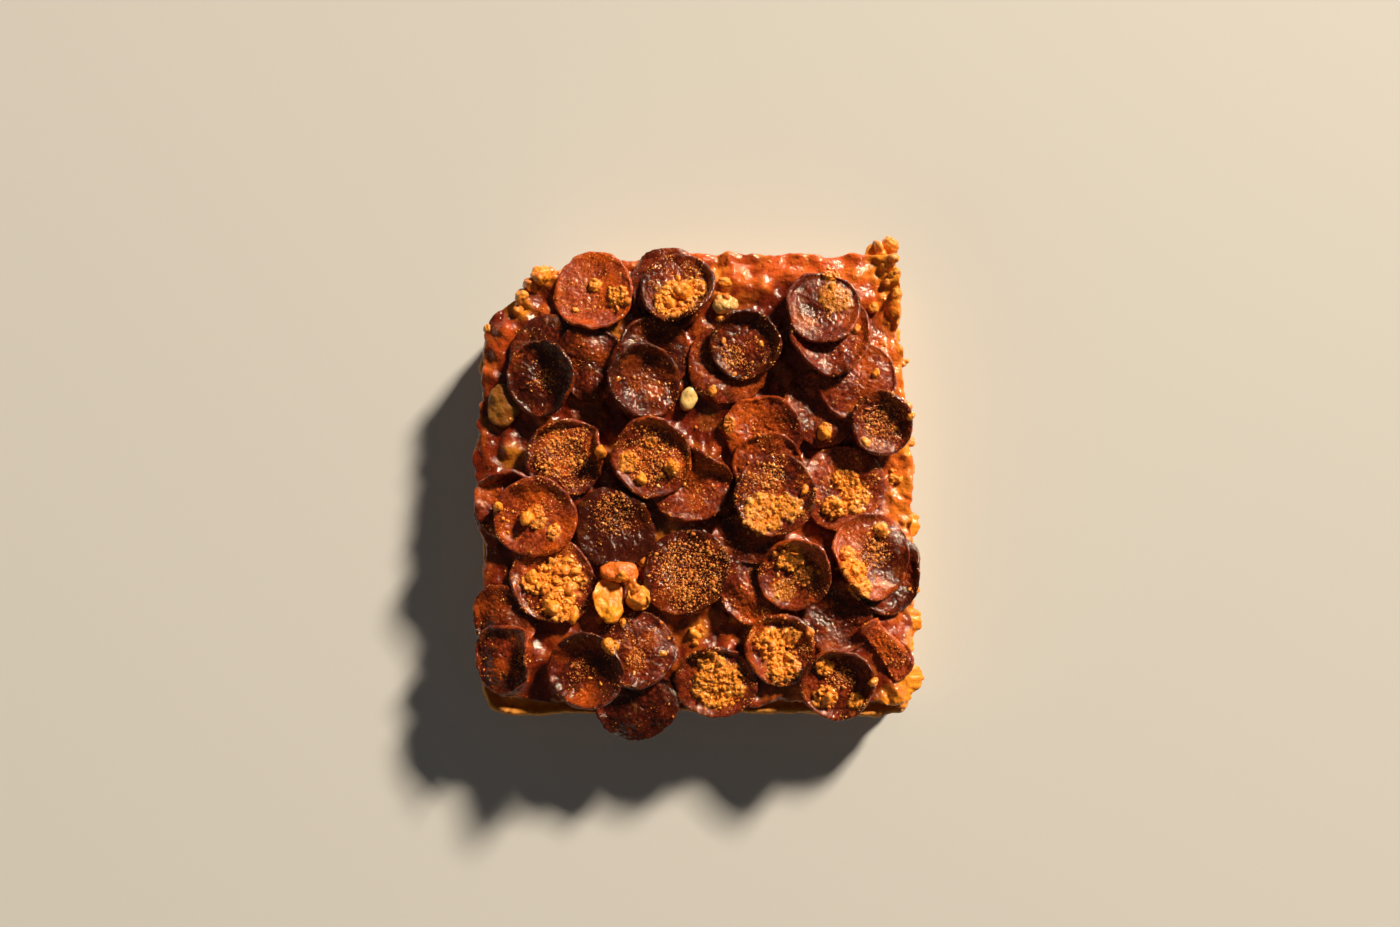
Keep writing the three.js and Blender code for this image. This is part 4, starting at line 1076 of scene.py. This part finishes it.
def pepperoni_piece(node, look, material, beneath):
    light, charred, strewn = look
    sheet = Sheet(node)
    sheet.settle(beneath)
    rings, rho, turn, outward, square = slice_rings(sheet)
    near_rim = ramp(rho, 0.55, 1.0)
    on_top = ramp(np.sin(turn), -0.2, 0.6)
    curl = ramp(rho, 0.74, 1.0) * np.maximum(0, 0.65 + 0.7 * fractal(rings, 9, 2, 50))
    crimp = 0.4 * fractal(rings, 3.5, 2, 51) * near_rim
    wrinkles = 0.35 * fractal(rings, 4.5, 3, 52) * on_top
    near_grain = cells(rings, 1.3, 53)
    grain = (0.26 * ramp(1 - near_grain, 0.25, 0.85) + 0.1 * fractal(rings, 0.9, 2, 54)) * on_top

    heaped, golden = heap_strength(rings)
    film = on_top * ramp(1.1 * heaped + 0.5 * fractal(rings, 2.4, 3, 59), 0.15, 0.5) * ramp(golden, 0.0, 0.6)
    near_curd = cells(rings, 1.9, 60)
    melted = film * (0.5 + 0.8 * ramp(1 - near_curd, 0.2, 0.85))
    rings = rings + (curl + crimp + wrinkles + grain + melted)[..., None] * square
    rings = rings + (0.35 * fractal(rings, 2.4, 2, 55) * near_rim * np.cos(turn))[..., None] * outward

    # Painted light and shade: paler on the tops of the curds, more orange between them.
    cheesy = blend_colours(CRISP, TOAST_PALE, 1.1 - 1.4 * near_curd)
    colours = blend_colours(slice_colours(rings, rho, light, charred, near_grain), cheesy, film)
    scatter = strewn * ramp(fractal(rings, 5, 3, 61), -0.7, 0.5) + 0.5 * heaped * np.maximum(golden, 0)
    scatter += 0.3 * ramp(rho, 0.8, 0.95) * ramp(fractal(rings, 4, 2, 63), -0.2, 0.5)
    colours = np.concatenate([colours, np.clip(scatter * on_top, 0, 1)[..., None]], axis=-1)
    rings = folded(rings, sheet, FOLDS.get(node.removeprefix("pepperoni_"), []))
    beneath.append(coarse_tree(rings))
    return ringed_piece(node + "_baked", rings, colours, material, "pepperoni", [node])


def coarse_tree(rings):
    """A search tree of every third ring of a piece and every second corner."""
    coarse = rings[::3, ::2]
    faces = ring_faces(*coarse.shape[:2])[:-2]
    return BVHTree.FromPolygons(coarse.reshape(-1, 3).tolist(), faces)


# ---- Lumps, grains and melted bits ---------------------------------------------------------------------


def ball(subdivisions):
    """Corners and triangles of a ball of radius 1."""
    made = bmesh.new()
    bmesh.ops.create_icosphere(made, subdivisions=subdivisions, radius=1)
    made.verts.ensure_lookup_table()
    points = np.array([corner.co[:] for corner in made.verts])
    faces = np.array([[corner.index for corner in face.verts] for face in made.faces])
    made.free()
    return points, faces


def turns(count):
    """`count` evenly spread random rotations, as matrices."""
    w, x, y, z = random.normal(size=(4, count))
    length = np.sqrt(w * w + x * x + y * y + z * z)
    w, x, y, z = w / length, x / length, y / length, z / length
    rows = [
        [1 - 2 * (y * y + z * z), 2 * (x * y - z * w), 2 * (x * z + y * w)],
        [2 * (x * y + z * w), 1 - 2 * (x * x + z * z), 2 * (y * z - x * w)],
        [2 * (x * z - y * w), 2 * (y * z + x * w), 1 - 2 * (x * x + y * y)],
    ]
    return np.moveaxis(np.array(rows), -1, 0)


def crumb_shapes(subdivisions):
    """Corners of several broken crumbs about 1 in radius, and the triangles that they share."""
    points, faces = ball(subdivisions)
    shapes = []
    for number in range(CRUMB_KINDS):
        sides = random.normal(size=(CRUMB_SIDES, 3))
        sides /= np.linalg.norm(sides, axis=1, keepdims=True)
        reach = random.uniform(0.55, 1.0, CRUMB_SIDES) / np.maximum(points @ sides.T, 0.05)
        uneven = 0.25 * fractal(points + 9.7 * number, 0.8, 2, 90 + number)
        shapes.append(points * (np.minimum(reach.min(axis=1), 1.3) + uneven)[:, None])
    return np.array(shapes), faces


def copies(shapes, faces, places, radii, colours):
    """Corners, triangles and colours of a crumb at each place, turned, stretched, unevenly browned and, as
    painted shade, darker and more orange towards its underside.
    """
    count = len(places)
    stretch = random.uniform(0.6, 1.3, (count, 1, 3)) * radii[:, None, None]
    chosen = shapes[random.integers(len(shapes), size=count)]
    turned = np.einsum("npi,nij->npj", chosen * stretch, turns(count))
    corners = turned + places[:, None]
    numbers = faces[None] + (np.arange(count) * shapes.shape[1])[:, None, None]
    # Random browning, with painted shade: each crumb darker and more orange towards its underside.
    browning_and_shade = 0.4 + 0.5 * fractal(corners, 0.9, 2, 62) - 0.6 * turned[..., 2] / radii[:, None]
    tints = blend_colours(np.broadcast_to(colours[:, None], corners.shape), TOAST_DEEP, 0.6 * browning_and_shade)
    return corners.reshape(-1, 3), numbers.reshape(-1, 3), tints.reshape(-1, 3)


def toast_colours(golden):
    """The colour of toasted cheese, from pale or golden, with some crumbs browner."""
    base = blend_colours(TOAST_PALE, TOAST_GOLD, 0.6 + golden + random.uniform(-0.9, 0.4, golden.shape))
    base = blend_colours(base, TOAST_DEEP, random.uniform(-0.6, 0.85, golden.shape) - 0.25 * golden)
    return blend_colours(base, TOAST_BROWN, random.uniform(-0.9, 0.4, golden.shape) - golden)


class Ground:
    """All that lies open to the sky, for crumbs to fall on."""

    def __init__(self, objects):
        solids = [corners_and_triangles(piece.data) for piece in objects]
        self.tree = tree_of(*solids)
        self.owners = []
        for piece, (_, triangles) in zip(objects, solids):
            self.owners += [piece.name] * len(triangles)

    def below(self, x, y):
        """Where something dropped at x, y lands: the place, the slope there and the piece."""
        place, normal, face, _ = self.tree.ray_cast(Vector((x, y, DROP_HEIGHT)), Vector(-UP))
        if place is None:
            return None
        return np.array(place), np.array(normal), self.owners[face]


def strewn_share(owner):
    name = owner.removeprefix("pepperoni_").removesuffix("_baked")
    return PEPPERONI[name][2] if name in PEPPERONI else SAUCE_STREWN


def fallen(ground, count, radii, strewing, heaping, least_gold):
    """Draws crumbs: their places and how golden they are.  `strewing` says how many lie about everywhere and
    `heaping` how many lie in those heaps that are at least so golden."""
    low, high = np.array(CAD_BOX) / MM
    spots = random.uniform(low[:2], high[:2], (40 * count, 2))
    heaped, golden = heap_strength(spots)
    heaped = heaping * heaped * (golden >= least_gold)
    flat = level(spots)
    clumps = strewing * ramp(fractal(flat, 3.2, 3, 61) + 0.6 * fractal(flat, 9, 2, 65), -0.3, 0.8)
    chance = random.random(len(spots))
    places, gold = [], []
    for number in np.flatnonzero(chance < clumps + heaped):
        landed = ground.below(*spots[number])
        if landed is None or landed[1][2] < STEEPEST or landed[2] == "dough_baked":
            continue
        place, normal, owner = landed
        if chance[number] > clumps[number] * strewn_share(owner) + heaped[number]:
            continue
        places.append(place - normal * 0.3 * radii[len(places)])
        gold.append(golden[number])
        if len(places) == count:
            break
    return np.array(places), np.array(gold)


def grain_piece(name, ground, material, count, sizes, subdivisions, *spread):
    radii = sizes[0] + (sizes[1] - sizes[0]) * random.random(count) ** 3
    places, golden = fallen(ground, count, radii, *spread)
    colours = toast_colours(golden)
    points, faces, colours = copies(*crumb_shapes(subdivisions), places, radii[: len(places)], colours)
    return piece_of(name, points, faces.tolist(), colours, material, "browned_cheese")


def lump_piece(ground, material):
    """The single lumps, knobbly and set a little into what they lie on, with painted shade between the knobs.
    """
    shape = ball(4)
    parts, first = [], 0
    for x, y, radius, golden in LUMPS:
        x, y = (x, y) + SLICE_ORIGIN
        place, slope, _ = ground.below(x, y) or (np.array([x, y, OVERHANG_HEIGHT]), UP, None)
        place = place - 0.15 * radius * slope
        tint = toast_colours(np.array([golden]))
        points, faces, _ = copies(shape[0][None], shape[1], place[None], np.array([radius]), tint)
        outward = (points - place) / radius
        curds = pebbles(points, 1.7, 71, 0.2, 0.8)
        knobs = 0.22 * curds + 0.4 * fractal(points, 2.6, 3, 72) - 0.06
        points = points + (min(radius, 1.8) * knobs)[:, None] * outward
        # Random tone with painted shade: darker between the knobs.
        tone_and_painted_shade = 0.5 * fractal(points, 1.6, 2, 73) + 0.5 - curds
        colours = blend_colours(np.repeat(tint, len(points), axis=0), TOAST_DEEP, 0.7 * tone_and_painted_shade)
        parts.append((points, faces + first, colours))
        first += len(points)
    points, faces, colours = (np.concatenate(columns) for columns in zip(*parts))
    return piece_of("cheese_lumps_toasted", points, faces.tolist(), colours, material, "browned_cheese")


def bit_piece(node, name, material, slot, colour, deep, browning_and_shade, roughness):
    """A lump that has a solid of its own: its solid smoothed, made finer and knobbly, unevenly browned and
    with painted shade between the knobs.
    """
    points, triangles = solid(node)
    mesh = bpy.data.meshes.new(name)
    mesh.from_pydata(points.tolist(), [], triangles.tolist())
    made = bmesh.new()
    made.from_mesh(mesh)
    bmesh.ops.remove_doubles(made, verts=made.verts, dist=0.01)
    made.to_mesh(mesh)
    made.free()
    rough = bpy.data.objects.new(name + "_rough", mesh)
    bpy.context.scene.collection.objects.link(rough)
    rough.modifiers.new("finer", "SUBSURF").levels = 3
    smooth = bpy.data.meshes.new_from_object(rough.evaluated_get(bpy.context.evaluated_depsgraph_get()))
    bpy.data.objects.remove(rough)
    corners = rows_of(smooth.vertices, "co")
    normals = rows_of(smooth.vertices, "normal")
    faces = [list(face.vertices) for face in smooth.polygons]
    curds = pebbles(corners, 2.4, 81, 0.2, 0.8)
    knobs = roughness * (0.8 * curds - 0.35 + 0.5 * fractal(corners, 2.6, 3, 82))
    knobs += 0.9 * fractal(corners, 6, 2, 84)
    corners = corners + knobs[:, None] * normals
    # Random browning with painted shade: darker between the knobs.
    tone_and_painted_shade = browning_and_shade * (0.5 + 0.8 * fractal(corners, 3.2, 3, 83) + 0.4 * (0.5 - curds))
    colours = blend_colours(np.repeat(colour[None], len(corners), axis=0), deep, tone_and_painted_shade)
    return piece_of(name, corners, faces, colours, material, slot, [node])


# ---- Floor, light and camera ---------------------------------------------------------------------------


def pale_floor():
    bpy.ops.mesh.primitive_plane_add(size=40)
    floor = bpy.context.object
    floor.name = "floor"
    material = bpy.data.materials.new("pale_floor")
    material.use_nodes = True
    shader = material.node_tree.nodes["Principled BSDF"]
    shader.inputs["Base Color"].default_value = (0.60, 0.66, 0.74, 1)
    shader.inputs["Roughness"].default_value = 0.7
    floor.data.materials.append(material)


def area_light(name, place, size, watts, colour):
    data = bpy.data.lights.new(name, "AREA")
    data.shape = "SQUARE"
    data.size, data.energy, data.color = size, watts, colour
    light = bpy.data.objects.new(name, data)
    bpy.context.scene.collection.objects.link(light)
    light.location = place
    light.rotation_mode = "QUATERNION"
    light.rotation_quaternion = (-Vector(place)).to_track_quat("-Z", "Y")
    return light


def soft_light():
    area_light("key_light", (3.5, 4.1, 3.4), 0.86, 825, (1.0, 0.78, 0.53))
    fill = area_light("fill_light", (-1.6, -1.3, 1.1), 1.2, 4.5, (1.0, 0.86, 0.70))
    fill.visible_glossy = False  # its reflection would lie on the dark slices as a grey film
    world = bpy.data.worlds.new("studio")
    world.use_nodes = True
    world.node_tree.nodes["Background"].inputs["Color"].default_value = (1.0, 0.88, 0.74, 1)
    world.node_tree.nodes["Background"].inputs["Strength"].default_value = 0.035
    bpy.context.scene.world = world
    bpy.context.scene.view_settings.view_transform = "Standard"


def camera_above():
    data = bpy.data.cameras.new("camera")
    data.sensor_width = 36
    data.lens = data.sensor_width * FOCAL_PIXELS / PICTURE[0]
    data.clip_start, data.clip_end = 0.01, 20
    camera = bpy.data.objects.new("camera", data)
    bpy.context.scene.collection.objects.link(camera)
    tilt = math.radians(CAMERA_TILT)
    away = FOCAL_PIXELS / PIXELS_PER_MM
    target = np.array(LOOK_AT) + (*SLICE_ORIGIN, 0)
    camera.location = MM * (target + away * np.array([0, -math.sin(tilt), math.cos(tilt)]))
    camera.rotation_euler = (tilt, 0, 0)
    bpy.context.scene.camera = camera


# ---- The whole scene -----------------------------------------------------------------------------------


def dress_slice():
    slices_tree = tree_of(*[solid("pepperoni_" + name) for name in PEPPERONI])
    crust, melted, toasted = crust_material(), melted_material(), toast_material()
    sauce, beneath = sauce_piece(sauce_material(), slices_tree)
    pieces = [dough_piece(crust), cheese_piece(melted), sauce]
    sliced = pepperoni_material()
    for name, look in PEPPERONI.items():
        pieces.append(pepperoni_piece("pepperoni_" + name, look, sliced, beneath))
    in_cheese = (melted, "melted_cheese")
    in_toast = (toasted, "browned_cheese")
    bits = [
        ("cheese_patch_left", *in_cheese, rgb(0.32, 0.15, 0.022), rgb(0.22, 0.05, 0.006), 0.7, 0.25),
        ("cheese_patch_back", *in_cheese, rgb(0.86, 0.56, 0.20), TOAST_DEEP, 0.3, 0.7),
        ("garlic_piece", garlic_material(), "garlic", GARLIC, TOAST_GOLD, 0.1, 0.12),
        ("cheese_chunk_golden", *in_toast, rgb(1.0, 0.45, 0.022), rgb(0.98, 0.26, 0.008), 0.7, 0.45),
        ("cheese_chunk_small", *in_toast, rgb(1.0, 0.52, 0.07), rgb(0.95, 0.34, 0.015), 0.4, 0.4),
        ("cheese_chunk_rusty", *in_toast, rgb(0.88, 0.22, 0.02), TOAST_DEEP, 0.5, 0.6),
    ]
    pieces += [bit_piece(node, node + "_fine", *rest) for node, *rest in bits]
    ground = Ground(pieces)
    lump_piece(ground, toasted)
    grain_piece("cheese_curds", ground, toasted, 620, (0.6, 1.45), 3, 0, 0.9, 0.65)
    grain_piece("cheese_crumbs_coarse", ground, toasted, 2400, (0.36, 0.85), 2, 0.25, 0.75, -1)
    grain_piece("cheese_crumbs_medium", ground, toasted, 9500, (0.24, 0.5), 1, 0.4, 0.6, -1)
    grain_piece("cheese_crumbs_fine", ground, toasted, 9500, (0.12, 0.3), 1, 0.5, 0.3, -1)


dress_slice()
pale_floor()
soft_light()
camera_above()
